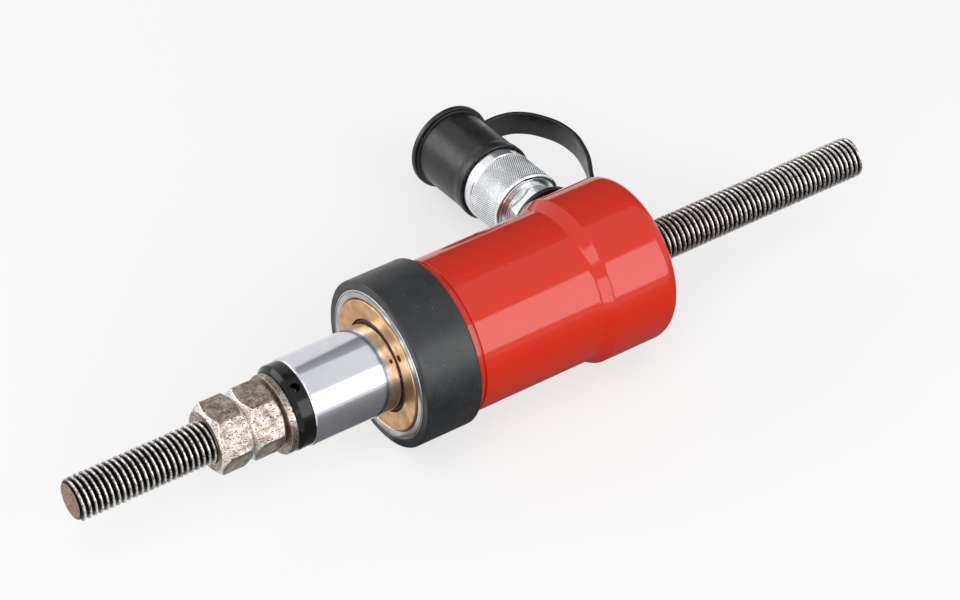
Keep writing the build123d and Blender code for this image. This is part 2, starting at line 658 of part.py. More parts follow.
saddle.part.label = "saddle"
export_step(saddle.part, "parts/saddle.step")

# Pull rod: threaded at both ends, with a plain shank inside the centre tube and the plunger
rod_half = [
    (-ROD_REAR_REACH, 0),
    (-ROD_REAR_REACH, ROD_RADIUS - ROD_REAR_CHAMFER),
    (-ROD_REAR_REACH + ROD_REAR_CHAMFER, ROD_RADIUS),
    (ROD_REAR_THREAD, ROD_RADIUS),
    (ROD_REAR_THREAD + ROD_RADIUS - ROD_SHANK_RADIUS, ROD_SHANK_RADIUS),
    (ROD_FRONT_THREAD - ROD_RADIUS + ROD_SHANK_RADIUS, ROD_SHANK_RADIUS),
    (ROD_FRONT_THREAD, ROD_RADIUS),
    (ROD_FRONT - ROD_END_CHAMFER, ROD_RADIUS),
    (ROD_FRONT, ROD_RADIUS - ROD_END_CHAMFER),
    (ROD_FRONT, 0),
]
with BuildPart() as pull_rod:
    revolve(half_section(rod_half), axis=Axis.X)
pull_rod.part.label = "pull_rod"
export_step(pull_rod.part, "parts/pull_rod.step")

with BuildPart() as washer:
    revolve(
        half_section(
            tube_outline(WASHER_START, WASHER_START + WASHER_THICKNESS, WASHER_BORE, WASHER_RADIUS),
            WASHER_SECTION,
        ),
        axis=WASHER_AXIS,
    )
    chamfer(rings_of(washer, WASHER_RADIUS).sort_by(Axis.X)[-1], length=WASHER_EDGE)
washer.part.label = "washer"
export_step(washer.part, "parts/washer.step")

with BuildPart() as nut_inner:
    add(nut(INNER_NUT_START))
nut_inner.part.label = "nut_inner"
export_step(nut_inner.part, "parts/nut_inner.step")

with BuildPart() as nut_outer:
    add(nut(OUTER_NUT_START))
nut_outer.part.label = "nut_outer"
export_step(nut_outer.part, "parts/nut_outer.step")

# Adapter nipple: port thread, neck for the strap's ring, hexagon and the stub that the coupler screws on
nipple_turned = [
    (PORT_FLOOR + NIPPLE_END_GAP, NIPPLE_BORE),
    (PORT_FLOOR + NIPPLE_END_GAP, NIPPLE_THREAD_RADIUS - BOSS_EDGE),
    (PORT_FLOOR + NIPPLE_END_GAP + BOSS_EDGE, NIPPLE_THREAD_RADIUS),
    (BOSS_HEIGHT, NIPPLE_THREAD_RADIUS),
    (BOSS_HEIGHT, NECK_RADIUS),
    (HEX_BOTTOM, NECK_RADIUS),
    (HEX_BOTTOM, STUB_RADIUS),
    (HEX_TOP + STUB_LENGTH - BOSS_EDGE, STUB_RADIUS),
    (HEX_TOP + STUB_LENGTH, STUB_RADIUS - BOSS_EDGE),
    (HEX_TOP + STUB_LENGTH, NIPPLE_BORE),
]
hex_corner = NIPPLE_HEX / 2 / cos(pi / 6)
hex_bevel = [
    (HEX_BOTTOM, NIPPLE_BORE),
    (HEX_BOTTOM, hex_corner - NIPPLE_HEX_BEVEL),
    (HEX_BOTTOM + NIPPLE_HEX_CHAMFER, hex_corner),
    (HEX_TOP - NIPPLE_HEX_CHAMFER, hex_corner),
    (HEX_TOP, hex_corner - NIPPLE_HEX_BEVEL),
    (HEX_TOP, NIPPLE_BORE),
]
with BuildPart() as coupler_nipple:
    with BuildSketch(port_plane(HEX_BOTTOM)):
        RegularPolygon(NIPPLE_HEX / 2, 6, major_radius=False)
    extrude(amount=NIPPLE_HEX_LENGTH)
    add(
        revolve(half_section(hex_bevel, PORT_SECTION), axis=PORT_AXIS, mode=Mode.PRIVATE),
        mode=Mode.INTERSECT,
    )
    revolve(half_section(nipple_turned, PORT_SECTION), axis=PORT_AXIS)
coupler_nipple.part.label = "coupler_nipple"
export_step(coupler_nipple.part, "parts/coupler_nipple.step")

# Coupler body: screwed on the stub, with the valve's chamber, its seat, the socket and its seal groove
ring_groove_radius = COUPLER_RADIUS + RETAINING_RING_STAND - RETAINING_RING_SECTION
coupler_seal_middle = COUPLER_TOP - COUPLER_SEAL_SETBACK
seal_groove_half = GROOVE_SHARE * COUPLER_SEAL_SECTION
coupler_half = [
    (HEX_TOP, STUB_RADIUS + RUNNING_FIT),
    (HEX_TOP, COUPLER_RADIUS),
    (RING_BOTTOM - RUNNING_FIT, COUPLER_RADIUS),
    (RING_BOTTOM - RUNNING_FIT, ring_groove_radius),
    (RING_BOTTOM + RETAINING_RING_SECTION + RUNNING_FIT, ring_groove_radius),
    (RING_BOTTOM + RETAINING_RING_SECTION + RUNNING_FIT, COUPLER_RADIUS),
    (COUPLER_TOP - BOSS_EDGE, COUPLER_RADIUS),
    (COUPLER_TOP, COUPLER_RADIUS - BOSS_EDGE),
    (COUPLER_TOP, SOCKET_RADIUS),
    (coupler_seal_middle + seal_groove_half, SOCKET_RADIUS),
    (coupler_seal_middle + seal_groove_half, SOCKET_RADIUS + COUPLER_SEAL_SECTION),
    (coupler_seal_middle - seal_groove_half, SOCKET_RADIUS + COUPLER_SEAL_SECTION),
    (coupler_seal_middle - seal_groove_half, SOCKET_RADIUS),
    (SOCKET_FLOOR, SOCKET_RADIUS),
    (SOCKET_FLOOR, VALVE_SEAT_RADIUS),
    (CHAMBER_TOP, VALVE_SEAT_RADIUS),
    (CHAMBER_TOP - CHAMBER_RADIUS + VALVE_SEAT_RADIUS, CHAMBER_RADIUS),
    (CHAMBER_FLOOR, CHAMBER_RADIUS),
    (CHAMBER_FLOOR, STUB_RADIUS + RUNNING_FIT),
]
with BuildPart() as coupler_body:
    revolve(half_section(coupler_half, PORT_SECTION), axis=PORT_AXIS)
coupler_body.part.label = "coupler_body"
export_step(coupler_body.part, "parts/coupler_body.step")

with BuildPart() as coupler_seal:
    revolve(
        torus_section(
            coupler_seal_middle, SOCKET_RADIUS + COUPLER_SEAL_SECTION / 2,
            COUPLER_SEAL_SECTION / 2 - SEAL_PLAY / 2, PORT_SECTION,
        ),
        axis=PORT_AXIS,
    )
coupler_seal.part.label = "coupler_seal"
export_step(coupler_seal.part, "parts/coupler_seal.step")

# Open retaining ring that keeps the collar on the coupler body
with BuildPart() as retaining_ring:
    revolve(
        half_section(
            tube_outline(
                RING_BOTTOM, RING_BOTTOM + RETAINING_RING_SECTION,
                ring_groove_radius + RUNNING_FIT, ring_groove_radius + RETAINING_RING_SECTION,
            ),
            PORT_SECTION,
        ),
        axis=PORT_AXIS, revolution_arc=360 - RETAINING_RING_OPENING,
    )
retaining_ring.part.label = "retaining_ring"
export_step(retaining_ring.part, "parts/retaining_ring.step")

# Poppet: a coned head on the seat, a stem into the socket and flats for the oil to pass
cone_length = POPPET_GUIDE_RADIUS - POPPET_STEM_RADIUS
poppet_cone_top = CHAMBER_TOP + VALVE_SEAT_RADIUS - POPPET_STEM_RADIUS - FACE_GAP
poppet_guide_top = poppet_cone_top - cone_length
poppet_bottom = poppet_guide_top - POPPET_GUIDE_LENGTH
poppet_half = [
    (poppet_bottom, 0),
    (poppet_bottom, POPPET_GUIDE_RADIUS),
    (poppet_guide_top, POPPET_GUIDE_RADIUS),
    (poppet_cone_top, POPPET_STEM_RADIUS),
    (SOCKET_FLOOR + POPPET_STEM_REACH, POPPET_STEM_RADIUS),
    (SOCKET_FLOOR + POPPET_STEM_REACH, 0),
]
with BuildPart() as coupler_poppet:
    revolve(half_section(poppet_half, PORT_SECTION), axis=PORT_AXIS)
    with BuildSketch(port_plane(poppet_bottom)):
        with PolarLocations(POPPET_GUIDE_RADIUS, 3):
            Rectangle(2 * POPPET_FLAT_DEPTH, 2 * POPPET_GUIDE_RADIUS)
    extrude(amount=POPPET_GUIDE_LENGTH, mode=Mode.SUBTRACT)
coupler_poppet.part.label = "coupler_poppet"
export_step(coupler_poppet.part, "parts/coupler_poppet.step")

poppet_spring_room = poppet_bottom - CHAMBER_FLOOR + NIPPLE_END_GAP - 2 * FACE_GAP - POPPET_SPRING_WIRE
poppet_spring_start = CHAMBER_FLOOR - NIPPLE_END_GAP + FACE_GAP + POPPET_SPRING_WIRE / 2
with BuildPart() as poppet_spring:
    with BuildLine() as poppet_spring_line:
        Helix(
            pitch=poppet_spring_room / POPPET_SPRING_TURNS, height=poppet_spring_room,
            radius=POPPET_SPRING_RADIUS, center=PORT_ORIGIN + PORT_DIRECTION * poppet_spring_start,
            direction=PORT_DIRECTION,
        )
    with BuildSketch(poppet_spring_line.line ^ 0):
        Circle(POPPET_SPRING_WIRE / 2)
    sweep(path=poppet_spring_line.line, is_frenet=True)
poppet_spring.part.label = "poppet_spring"
export_step(poppet_spring.part, "parts/poppet_spring.step")

# Screwed collar: dished and rounded behind, a groove ahead of the knurl, tapped mouth
collar_lip_bore = COUPLER_RADIUS + COLLAR_LIP_PLAY
thread_bottom = COLLAR_TOP - COLLAR_THREAD_LENGTH
groove_bottom = COLLAR_BOTTOM + COLLAR_GROOVE_FROM_BACK
collar_half = [
    (COLLAR_BOTTOM + COLLAR_DISH_DEPTH, collar_lip_bore),
    (COLLAR_BOTTOM, COLLAR_DISH_RADIUS),
    (COLLAR_BOTTOM, COLLAR_RADIUS),
    (groove_bottom, COLLAR_RADIUS),
    (groove_bottom, COLLAR_RADIUS - COLLAR_GROOVE_DEPTH),
    (groove_bottom + COLLAR_GROOVE_WIDTH, COLLAR_RADIUS - COLLAR_GROOVE_DEPTH),
    (groove_bottom + COLLAR_GROOVE_WIDTH, COLLAR_RADIUS),
    (COLLAR_TOP - COLLAR_FRONT_CHAMFER, COLLAR_RADIUS),
    (COLLAR_TOP, COLLAR_RADIUS - COLLAR_FRONT_CHAMFER),
    (COLLAR_TOP, COLLAR_THREAD_RADIUS),
    (thread_bottom, COLLAR_THREAD_RADIUS),
    (thread_bottom, COLLAR_CAVITY_RADIUS),
    (COLLAR_BOTTOM + COLLAR_LIP_LENGTH, COLLAR_CAVITY_RADIUS),
    (COLLAR_BOTTOM + COLLAR_LIP_LENGTH, collar_lip_bore),
]
with BuildPart() as coupler_collar:
    revolve(half_section(collar_half, PORT_SECTION), axis=PORT_AXIS)
    fillet(rings_of(coupler_collar, COLLAR_RADIUS).sort_by(Axis.Y)[-1], radius=COLLAR_REAR_ROUND)
coupler_collar.part.label = "coupler_collar"
export_step(coupler_collar.part, "parts/coupler_collar.step")

# Dust cap pushed over the collar, with a thicker lip and a flange at its closed end
cap_outer = CAP_BORE + CAP_WALL
cap_lip_outer = CAP_BORE + CAP_LIP_WALL
cap_half = [
    (CAP_MOUTH, CAP_BORE),
    (CAP_MOUTH, cap_lip_outer),
    (CAP_MOUTH + CAP_LIP_LENGTH, cap_lip_outer),
    (CAP_MOUTH + 2 * CAP_LIP_LENGTH, cap_outer),
    (CAP_END - CAP_FLANGE_THICKNESS, cap_outer),
    (CAP_END - CAP_FLANGE_THICKNESS, CAP_FLANGE_RADIUS),
    (CAP_END - CAP_FLANGE_EDGE, CAP_FLANGE_RADIUS),
    (CAP_END, CAP_FLANGE_RADIUS - CAP_FLANGE_EDGE),
    (CAP_END, 0),
    (CAP_INNER_END, 0),
    (CAP_INNER_END, CAP_BORE),
]
with BuildPart() as dust_cap:
    revolve(half_section(cap_half, PORT_SECTION), axis=PORT_AXIS)
dust_cap.part.label = "dust_cap"
export_step(dust_cap.part, "parts/dust_cap.step")

# Strap: a ring round the nipple's neck and a band that loops out to the cap's flange
strap_foot = STRAP_RING_BOTTOM + STRAP_RING_THICKNESS / 2
strap_head = CAP_END - CAP_FLANGE_THICKNESS / 2
strap_start = (STRAP_RING_RADIUS - STRAP_THICKNESS, strap_foot)
strap_finish = (CAP_FLANGE_RADIUS + SOFT_GAP, strap_head)
strap_bends = [(out, strap_foot + share * (strap_head - strap_foot)) for share, out in STRAP_ROUTE]
strap_points = [strap_start, *strap_bends, strap_finish]


def bend_radii(points):
    """The largest tangent arc that each corner of a route leaves room for."""
    radii = []
    for before, corner, after in zip(points, points[1:], points[2:]):
        run_in = Vector(*corner) - Vector(*before)
        run_out = Vector(*after) - Vector(*corner)
        shorter = min(run_in.length, run_out.length)
        radii.append(ARC_SHARE * shorter / tan(radians(run_in.get_angle(run_out)) / 2))
    return radii


with BuildPart() as cap_strap:
    with BuildSketch(port_plane(STRAP_RING_BOTTOM)):
        Circle(STRAP_RING_RADIUS)
    extrude(amount=STRAP_RING_THICKNESS)
    with BuildLine(STRAP_PLANE) as strap_line:
        FilletPolyline(*strap_points, radius=bend_radii(strap_points))
    with BuildSketch(strap_line.line ^ 0):
        Rectangle(STRAP_THICKNESS, STRAP_WIDTH)
    sweep(path=strap_line.line)
    with BuildSketch(port_plane(STRAP_RING_BOTTOM)):
        Circle(NECK_RADIUS + 2 * FACE_GAP)
    extrude(amount=STRAP_RING_THICKNESS, mode=Mode.SUBTRACT)
cap_strap.part.label = "cap_strap"
export_step(cap_strap.part, "parts/cap_strap.step")
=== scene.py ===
"""Looks of a hollow plunger cylinder with its pull rod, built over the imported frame.

Sizes are millimetres until a mesh is made. Turned pieces are outlines of corners swung round a
spindle. The rod's threads, the collar's knurl and the strap come from geometry-node rules.
"""

import json
import logging
import math
from dataclasses import dataclass
from enum import Enum
from typing import ClassVar

import bpy
import numpy as np
from mathutils import Matrix, Vector

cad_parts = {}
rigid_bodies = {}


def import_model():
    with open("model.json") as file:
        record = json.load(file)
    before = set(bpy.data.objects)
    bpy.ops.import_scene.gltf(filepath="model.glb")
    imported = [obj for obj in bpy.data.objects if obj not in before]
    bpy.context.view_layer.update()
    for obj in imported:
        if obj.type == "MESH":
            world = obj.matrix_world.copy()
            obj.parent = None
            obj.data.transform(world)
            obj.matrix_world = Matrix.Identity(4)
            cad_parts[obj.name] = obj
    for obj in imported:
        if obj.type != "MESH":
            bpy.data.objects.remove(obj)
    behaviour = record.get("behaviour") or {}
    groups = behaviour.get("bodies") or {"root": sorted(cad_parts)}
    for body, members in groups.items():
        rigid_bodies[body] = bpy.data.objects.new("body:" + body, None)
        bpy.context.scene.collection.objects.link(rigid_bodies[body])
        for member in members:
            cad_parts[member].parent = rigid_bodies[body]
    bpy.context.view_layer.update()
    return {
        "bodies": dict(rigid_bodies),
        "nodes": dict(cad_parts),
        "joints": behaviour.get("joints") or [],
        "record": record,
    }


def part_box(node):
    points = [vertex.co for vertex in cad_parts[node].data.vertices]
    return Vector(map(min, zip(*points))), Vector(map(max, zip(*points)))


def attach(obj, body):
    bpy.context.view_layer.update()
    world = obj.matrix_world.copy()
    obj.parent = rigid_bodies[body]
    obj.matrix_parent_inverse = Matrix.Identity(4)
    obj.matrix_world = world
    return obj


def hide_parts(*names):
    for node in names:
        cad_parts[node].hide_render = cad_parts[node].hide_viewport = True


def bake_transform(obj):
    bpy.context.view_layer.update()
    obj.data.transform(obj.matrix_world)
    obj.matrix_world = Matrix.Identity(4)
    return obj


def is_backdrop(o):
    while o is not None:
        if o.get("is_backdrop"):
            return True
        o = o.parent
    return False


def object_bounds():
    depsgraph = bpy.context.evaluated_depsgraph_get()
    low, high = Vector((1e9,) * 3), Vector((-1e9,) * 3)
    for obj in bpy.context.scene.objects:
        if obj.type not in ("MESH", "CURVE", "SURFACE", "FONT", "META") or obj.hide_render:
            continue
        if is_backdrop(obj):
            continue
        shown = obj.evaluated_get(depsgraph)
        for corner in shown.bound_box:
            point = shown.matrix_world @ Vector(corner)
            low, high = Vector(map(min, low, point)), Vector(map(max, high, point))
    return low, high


log = logging.getLogger("scene")

# One millimetre in the frame's metres
MM = 0.001
# Steps round a large turned piece, round the rod's core and round a drilled hole
AROUND = 256
ROD_AROUND = 96
HOLE_AROUND = 48
# The largest turn between two points of a rounded corner, and the fewest steps that it gets
ARC_STEP = math.radians(12)
ARC_STEPS = 3
# The angle from which an edge is shaded as sharp
SHARP_ANGLE = math.radians(32)
# How far past a rounded corner its hold point lies, as a share of the corner's setback
HOLD_SHARE = 0.2
# A radius below this is a pole
POLE = 1e-6
# Points that lie nearer to each other than this, in metres, are one
MERGE = 1e-6
# How far one mesh runs into the next so that no gap shows
OVERLAP = 0.5
# How far apart two faces lie that would fall together
SKIN = 0.02
# The angle between two neighbouring sides of a hexagon, in degrees
SIDE_ANGLE = 60
# Steps between two points of the strap's route
ROUTE_STEPS = 16
# How far a drilled hole's plug stands out of the metal
PLUG_STAND = 2.0
# How the names of the nodes on the port's axis start
PORT_NODES = ("coupler", "poppet", "retaining")
# The attributes that materials read: place on the spindle, dirt and painted shade in grooves, and faces
# rubbed bright
LOCAL = "local"
GRIME_AND_SHADE = "grime_and_shade"
RUBBED = "rubbed"

Corners = list[tuple[float, float, float]]
Socket = bpy.types.NodeSocket


class Slot(Enum):
    """The record's material slots."""

    RED_PAINT = "red_paint"
    HARD_CHROME = "hard_chrome"
    TUBE_STEEL = "tube_steel"
    BRONZE = "bronze"
    BLACK_PLASTIC = "black_plastic"
    BLACK_OXIDE = "black_oxide"
    ROD_STEEL = "rod_steel"
    RAW_STEEL = "raw_steel"
    ZINC_PLATE = "zinc_plate"
    SPRING_STEEL = "spring_steel"
    SEAL_RUBBER = "seal_rubber"
    WEAR_RING = "wear_ring"
    BLACK_RUBBER = "black_rubber"


class Body(Enum):
    """The bodies that the pieces ride on."""

    CYLINDER = "cylinder"
    PLUNGER = "plunger"
    ROD = "rod"
    WASHER = "washer"
    NUTS = "nuts"
    GUARD = "guard"
    COLLAR = "collar"
    CAP = "cap"


@dataclass(frozen=True)
class Reach:
    """How far a CAD node reaches along a spindle and out from it, in millimetres."""

    start: float
    end: float
    inner: float
    outer: float


@dataclass(frozen=True)
class Spindle:
    """An axis that pieces are turned about, with the direction across it where an angle starts."""

    origin: tuple[float, float, float]
    along: tuple[float, float, float]
    across: tuple[float, float, float]

    def basis(self) -> np.ndarray:
        """Rows are the directions along, across and up."""
        return np.array([self.along, self.across, np.cross(self.along, self.across)])

    def place(self, points: np.ndarray) -> np.ndarray:
        """Turns (along, across, up) in millimetres into the frame's metres."""
        return (np.array(self.origin) + points @ self.basis()) * MM

    def local(self, metres: np.ndarray) -> np.ndarray:
        """Turns the frame's metres into (along, across, up) in millimetres."""
        return (metres / MM - np.array(self.origin)) @ self.basis().T

    def reach(self, frame: dict, node: str) -> Reach:
        """Measures a CAD node about this spindle.

        Args:
            frame: The loaded frame.
            node: The node's name.

        Returns:
            Its reach in millimetres.
        """
        local = self.local(coordinates(frame["nodes"][node].data))
        radii = np.hypot(local[:, 1], local[:, 2])
        along = local[:, 0]
        return Reach(float(along.min()), float(along.max()), float(radii.min()), float(radii.max()))


def coordinates(mesh: bpy.types.Mesh) -> np.ndarray:
    """The vertices of a mesh as rows of x, y and z."""
    flat = np.empty(len(mesh.vertices) * 3)
    mesh.vertices.foreach_get("co", flat)
    return flat.reshape(-1, 3)


def linear(colour: str) -> tuple[float, float, float, float]:
    """Turns an sRGB hex colour into linear light."""
    parts = (int(colour[i : i + 2], 16) / 255 for i in (1, 3, 5))
    red, green, blue = (c / 12.92 if c <= 0.04045 else ((c + 0.055) / 1.055) ** 2.4 for c in parts)
    return red, green, blue, 1.0


@dataclass(frozen=True)
class Tree:
    """A node tree that grows by one call for each node."""

    tree: bpy.types.NodeTree

    def add(self, kind: str, inputs: dict | None = None, **settings: object) -> Socket | None:
        """Adds a node, sets its properties, and sets or links its inputs.

        Args:
            kind: The node's type name.
            inputs: Input name or number to a value, an sRGB hex colour or another node's output.
            settings: Properties of the node.

        Returns:
            The node's first output in use, or None where it has none.
        """
        node = self.tree.nodes.new(kind)
        for name, value in settings.items():
            setattr(node, name, value)
        for key, value in (inputs or {}).items():
            if isinstance(value, Socket):
                self.tree.links.new(value, node.inputs[key])
            elif isinstance(value, str):
                node.inputs[key].default_value = linear(value)
            else:
                node.inputs[key].default_value = value
        return next((socket for socket in node.outputs if socket.enabled), None)

    def radius(self, place: Socket) -> Socket:
        """The distance from the spindle, from local coordinates."""
        flat = self.add("ShaderNodeVectorMath", {0: place, 1: (0.0, 1.0, 1.0)}, operation="MULTIPLY")
        return self.add("ShaderNodeVectorMath", {0: flat}, operation="LENGTH").node.outputs["Value"]

    def rings(self, place: Socket, size: float) -> Socket:
        """Fine turning marks that run round the spindle, as noise over (along, radius)."""
        along = self.add("ShaderNodeSeparateXYZ", {0: place})
        spot = self.add("ShaderNodeCombineXYZ", {0: along, 1: self.radius(place)})
        return self.add("ShaderNodeTexNoise", {"Vector": spot, "Scale": 1 / size, "Detail": 3.0})

    def specks(self, place: Socket, size: float, share: float) -> Socket:
        """Small dots with soft edges that lie at random about a size apart and fill a share of it."""
        dots = self.add("ShaderNodeTexVoronoi", {"Vector": place, "Scale": 1 / size})
        return self.add("ShaderNodeMapRange", {0: dots, 1: share, 2: share / 2})

    def wave(self, value: Socket) -> Socket:
        """A wave from 1 to 0 and back that repeats with each whole number."""
        share = self.add("ShaderNodeMath", {0: value}, operation="FRACT")
        swing = self.add("ShaderNodeMath", {0: share, 1: 2.0, 2: -1.0}, operation="MULTIPLY_ADD")
        return self.add("ShaderNodeMath", {0: swing}, operation="ABSOLUTE")

    def relief(self, shader: Socket, pattern: Socket, height: float) -> None:
        """Bends a shader's normals by a pattern that stands this many millimetres high."""
        rise = self.add("ShaderNodeMath", {0: pattern, 1: height}, operation="MULTIPLY")
        bump = self.add("ShaderNodeBump", {"Height": rise, "Distance": MM})
        self.tree.links.new(bump, shader.node.inputs["Normal"])


def empty_tree(owner: bpy.types.Material | bpy.types.World) -> Tree:
    """Switches a material's or a world's nodes on and clears them."""
    owner.use_nodes = True
    owner.node_tree.nodes.clear()
    return Tree(owner.node_tree)


def unit(vector: np.ndarray) -> np.ndarray:
    """The vector at length one."""
    return vector / np.linalg.norm(vector)


def rounded(corners: Corners) -> np.ndarray:
    """Turns a closed outline of (along, radius, rounding) corners into points, with arcs at rounded corners.

    Args:
        corners: The outline's corners, each with the radius of its rounding.

    Returns:
        Rows of (along, radius), with a hold point beside each arc that keeps its flats flat when shaded.
    """
    points = []
    for index, (along, radius, rounding) in enumerate(corners):
        here = np.array((along, radius))
        if rounding == 0:
            points.append(here)
            continue
        run_in = unit(np.array(corners[index - 1][:2]) - here)
        run_out = unit(np.array(corners[(index + 1) % len(corners)][:2]) - here)
        turn = math.pi - math.acos(float(np.clip(run_in @ run_out, -1, 1)))
        setback = rounding * math.tan(turn / 2)
        centre = here + unit(run_in + run_out) * rounding / math.cos(turn / 2)
        first, last = here + run_in * setback, here + run_out * setback
        begin = math.atan2(*(first - centre)[::-1])
        sweep = math.remainder(math.atan2(*(last - centre)[::-1]) - begin, math.tau)
        steps = max(ARC_STEPS, math.ceil(turn / ARC_STEP))
        angles = begin + sweep * np.linspace(0, 1, steps + 1)
        points.append(first + run_in * setback * HOLD_SHARE)
        points.extend(centre + rounding * np.array((math.cos(a), math.sin(a))) for a in angles)
        points.append(last + run_out * setback * HOLD_SHARE)
    return np.array(points)


def quads(rows: list[np.ndarray]) -> list[tuple[int, ...]]:
    """Faces between neighbouring rings of vertex numbers, where a ring of one number is a pole."""
    faces = []
    for low, high in zip(rows, rows[1:] + rows[:1]):
        if len(low) == 1 and len(high) == 1:
            continue
        count = max(len(low), len(high))
        for k in range(count):
            after = (k + 1) % count
            loop = low[k % len(low)], low[after % len(low)], high[after % len(high)], high[k % len(high)]
            faces.append(tuple(dict.fromkeys(int(i) for i in loop)))
    return faces


def linked(name: str, data: bpy.types.ID) -> bpy.types.Object:
    """Puts an object with this data into the scene."""
    thing = bpy.data.objects.new(name, data)
    bpy.context.scene.collection.objects.link(thing)
    return thing


def rings_mesh(
    name: str, rings: list[tuple[float, np.ndarray]], angles: np.ndarray, spindle: Spindle
) -> bpy.types.Object:
    """Makes a closed mesh from rings round a spindle.

    Args:
        name: The piece's name.
        rings: Each ring's place along the spindle and its radii, one for each angle, or one 0 for a pole.
        angles: The angles round the spindle.
        spindle: What the rings stand on.

    Returns:
        The mesh object.
    """
    points, rows = [], []
    for along, radii in rings:
        turn = angles[: len(radii)]
        rows.append(np.arange(len(points), len(points) + len(radii)))
        ring = (np.full(len(radii), along), radii * np.cos(turn), radii * np.sin(turn))
        points.extend(np.column_stack(ring))
    mesh = bpy.data.meshes.new(name)
    mesh.from_pydata(spindle.place(np.array(points)).tolist(), [], quads(rows))
    return linked(name, mesh)


def turned(name: str, spindle: Spindle, corners: Corners, around: int = AROUND) -> bpy.types.Object:
    """Swings a closed outline round a spindle.

    Args:
        name: The piece's name.
        spindle: What it turns about.
        corners: The outline as (along, radius, rounding), in either direction.
        around: How many steps the turn has.

    Returns:
        A closed mesh object with its normals outward.
    """
    outline = rounded(corners)
    along, radius = outline.T
    if np.sum(along * np.roll(radius, -1) - np.roll(along, -1) * radius) > 0:
        outline = outline[::-1]
    rings = [(place, np.full(around if size > POLE else 1, size)) for place, size in outline]
    return rings_mesh(name, rings, np.arange(around) * math.tau / around, spindle)


def plug(side: Spindle, bottom: float, face: float, radius: float) -> bpy.types.Object:
    """A drill's shape that stands out of a face, with its point at the bottom."""
    point, top = bottom - radius / 2, face + PLUG_STAND
    corners = [(point, 0, 0), (bottom, radius, 0), (top, radius, 0), (top, 0, 0)]
    return turned("plug", side, corners, around=HOLE_AROUND)


def darkened_in_grooves(thing: bpy.types.Object, spindle: Spindle, top: float, depth: float) -> bpy.types.Object:
    """Stores how deep each point lies under a radius, as a squared share, for the dirt and painted shade that
    darken grooves.

    Args:
        thing: The piece.
        spindle: What its radius is measured from.
        top: The radius of its ridges.
        depth: The depth of its grooves.

    Returns:
        The same piece.
    """
    local = spindle.local(coordinates(thing.data))
    # Deeper points get more of the dark tone: painted shade, with dirt
    share = np.clip((top - np.hypot(local[:, 1], local[:, 2])) / depth, 0, 1) ** 2
    thing.data.attributes.new(GRIME_AND_SHADE, "FLOAT", "POINT").data.foreach_set("value", share)
    return thing


def rubbed(
    thing: bpy.types.Object, spindle: Spindle, flat: float = 0.25, square: float = 0.97
) -> bpy.types.Object:
    """Marks the faces that slope, such as cones and chamfers, which handling rubs bright.

    Args:
        thing: The piece.
        spindle: What the slope is measured against.
        flat: The cosine to its axis up to which a face counts as lying along it.
        square: The cosine from which a face counts as square to it.

    Returns:
        The same piece.
    """
    normals = np.zeros(len(thing.data.polygons) * 3)
    thing.data.polygons.foreach_get("normal", normals)
    along = np.abs(normals.reshape(-1, 3) @ np.asarray(spindle.along))
    share = ((along > flat) & (along < square)).astype(float)
    thing.data.attributes.new(RUBBED, "FLOAT", "FACE").data.foreach_set("value", share)
    return thing


def joined(name: str, things: list[bpy.types.Object]) -> bpy.types.Object:
    """Puts several objects' meshes into the first one."""
    with bpy.context.temp_override(active_object=things[0], selected_editable_objects=things):
        bpy.ops.object.join()
    things[0].name = name
    return things[0]


def drilled(thing: bpy.types.Object, plugs: list[bpy.types.Object]) -> bpy.types.Object:
    """Cuts plugs out of an object and removes them."""
    for tool in plugs:
        cut = thing.modifiers.new("cut", "BOOLEAN")
        cut.operation = "DIFFERENCE"
        cut.solver = "EXACT"
        cut.object = tool
    graph = bpy.context.evaluated_depsgraph_get()
    mesh = bpy.data.meshes.new_from_object(thing.evaluated_get(graph))
    thing.modifiers.clear()
    thing.data = mesh
    for tool in plugs:
        bpy.data.objects.remove(tool)
    return thing


@dataclass(frozen=True)
class Shop:
    """Dresses pieces and hands them to the frame."""

    materials: dict[Slot, bpy.types.Material]

    def dress(self, thing: bpy.types.Object, spindle: Spindle, slot: Slot) -> None:
        """Shades a piece, stores its own coordinates in millimetres and gives it its material.

        Args:
            thing: The piece.
            spindle: Whose coordinates its material reads.
            slot: Its material slot.
        """
        thing.data.shade_smooth()
        thing.data.set_sharp_from_angle(angle=SHARP_ANGLE)
        self.finish(thing, spindle, slot)
        log.info("dressed %s", thing.name)

    def finish(self, thing: bpy.types.Object, spindle: Spindle, slot: Slot) -> None:
        """Gives a mesh its coordinates and its material, and leaves its shading as it is."""
        mesh = thing.data
        local = mesh.attributes.get(LOCAL) or mesh.attributes.new(LOCAL, "FLOAT_VECTOR", "POINT")
        local.data.foreach_set("vector", spindle.local(coordinates(mesh)).ravel())
        mesh.materials.clear()
        mesh.materials.append(self.materials[slot])

    def mount(self, thing: bpy.types.Object, spindle: Spindle, body: Body, slot: Slot, *nodes: str) -> None:
        """Dresses a piece, puts it on its body and lets it stand for CAD nodes.

        Args:
            thing: The piece.
            spindle: Whose coordinates its material reads.
            body: The body that it rides on.
            slot: Its material slot.
            nodes: The CAD nodes that it replaces.
        """
        self.dress(thing, spindle, slot)
        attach(thing, body.value)
        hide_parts(*nodes)

    def turn(
        self, name: str, spindle: Spindle, corners: Corners, body: Body, slot: Slot, *nodes: str
    ) -> None:
        """Turns a piece and mounts it.

        Args:
            name: The piece's name.
            spindle: What it turns about.
            corners: Its outline as (along, radius, rounding).
            body: The body that it rides on.
            slot: Its material slot.
            nodes: The CAD nodes that it replaces.
        """
        self.mount(turned(name, spindle, corners), spindle, body, slot, *nodes)


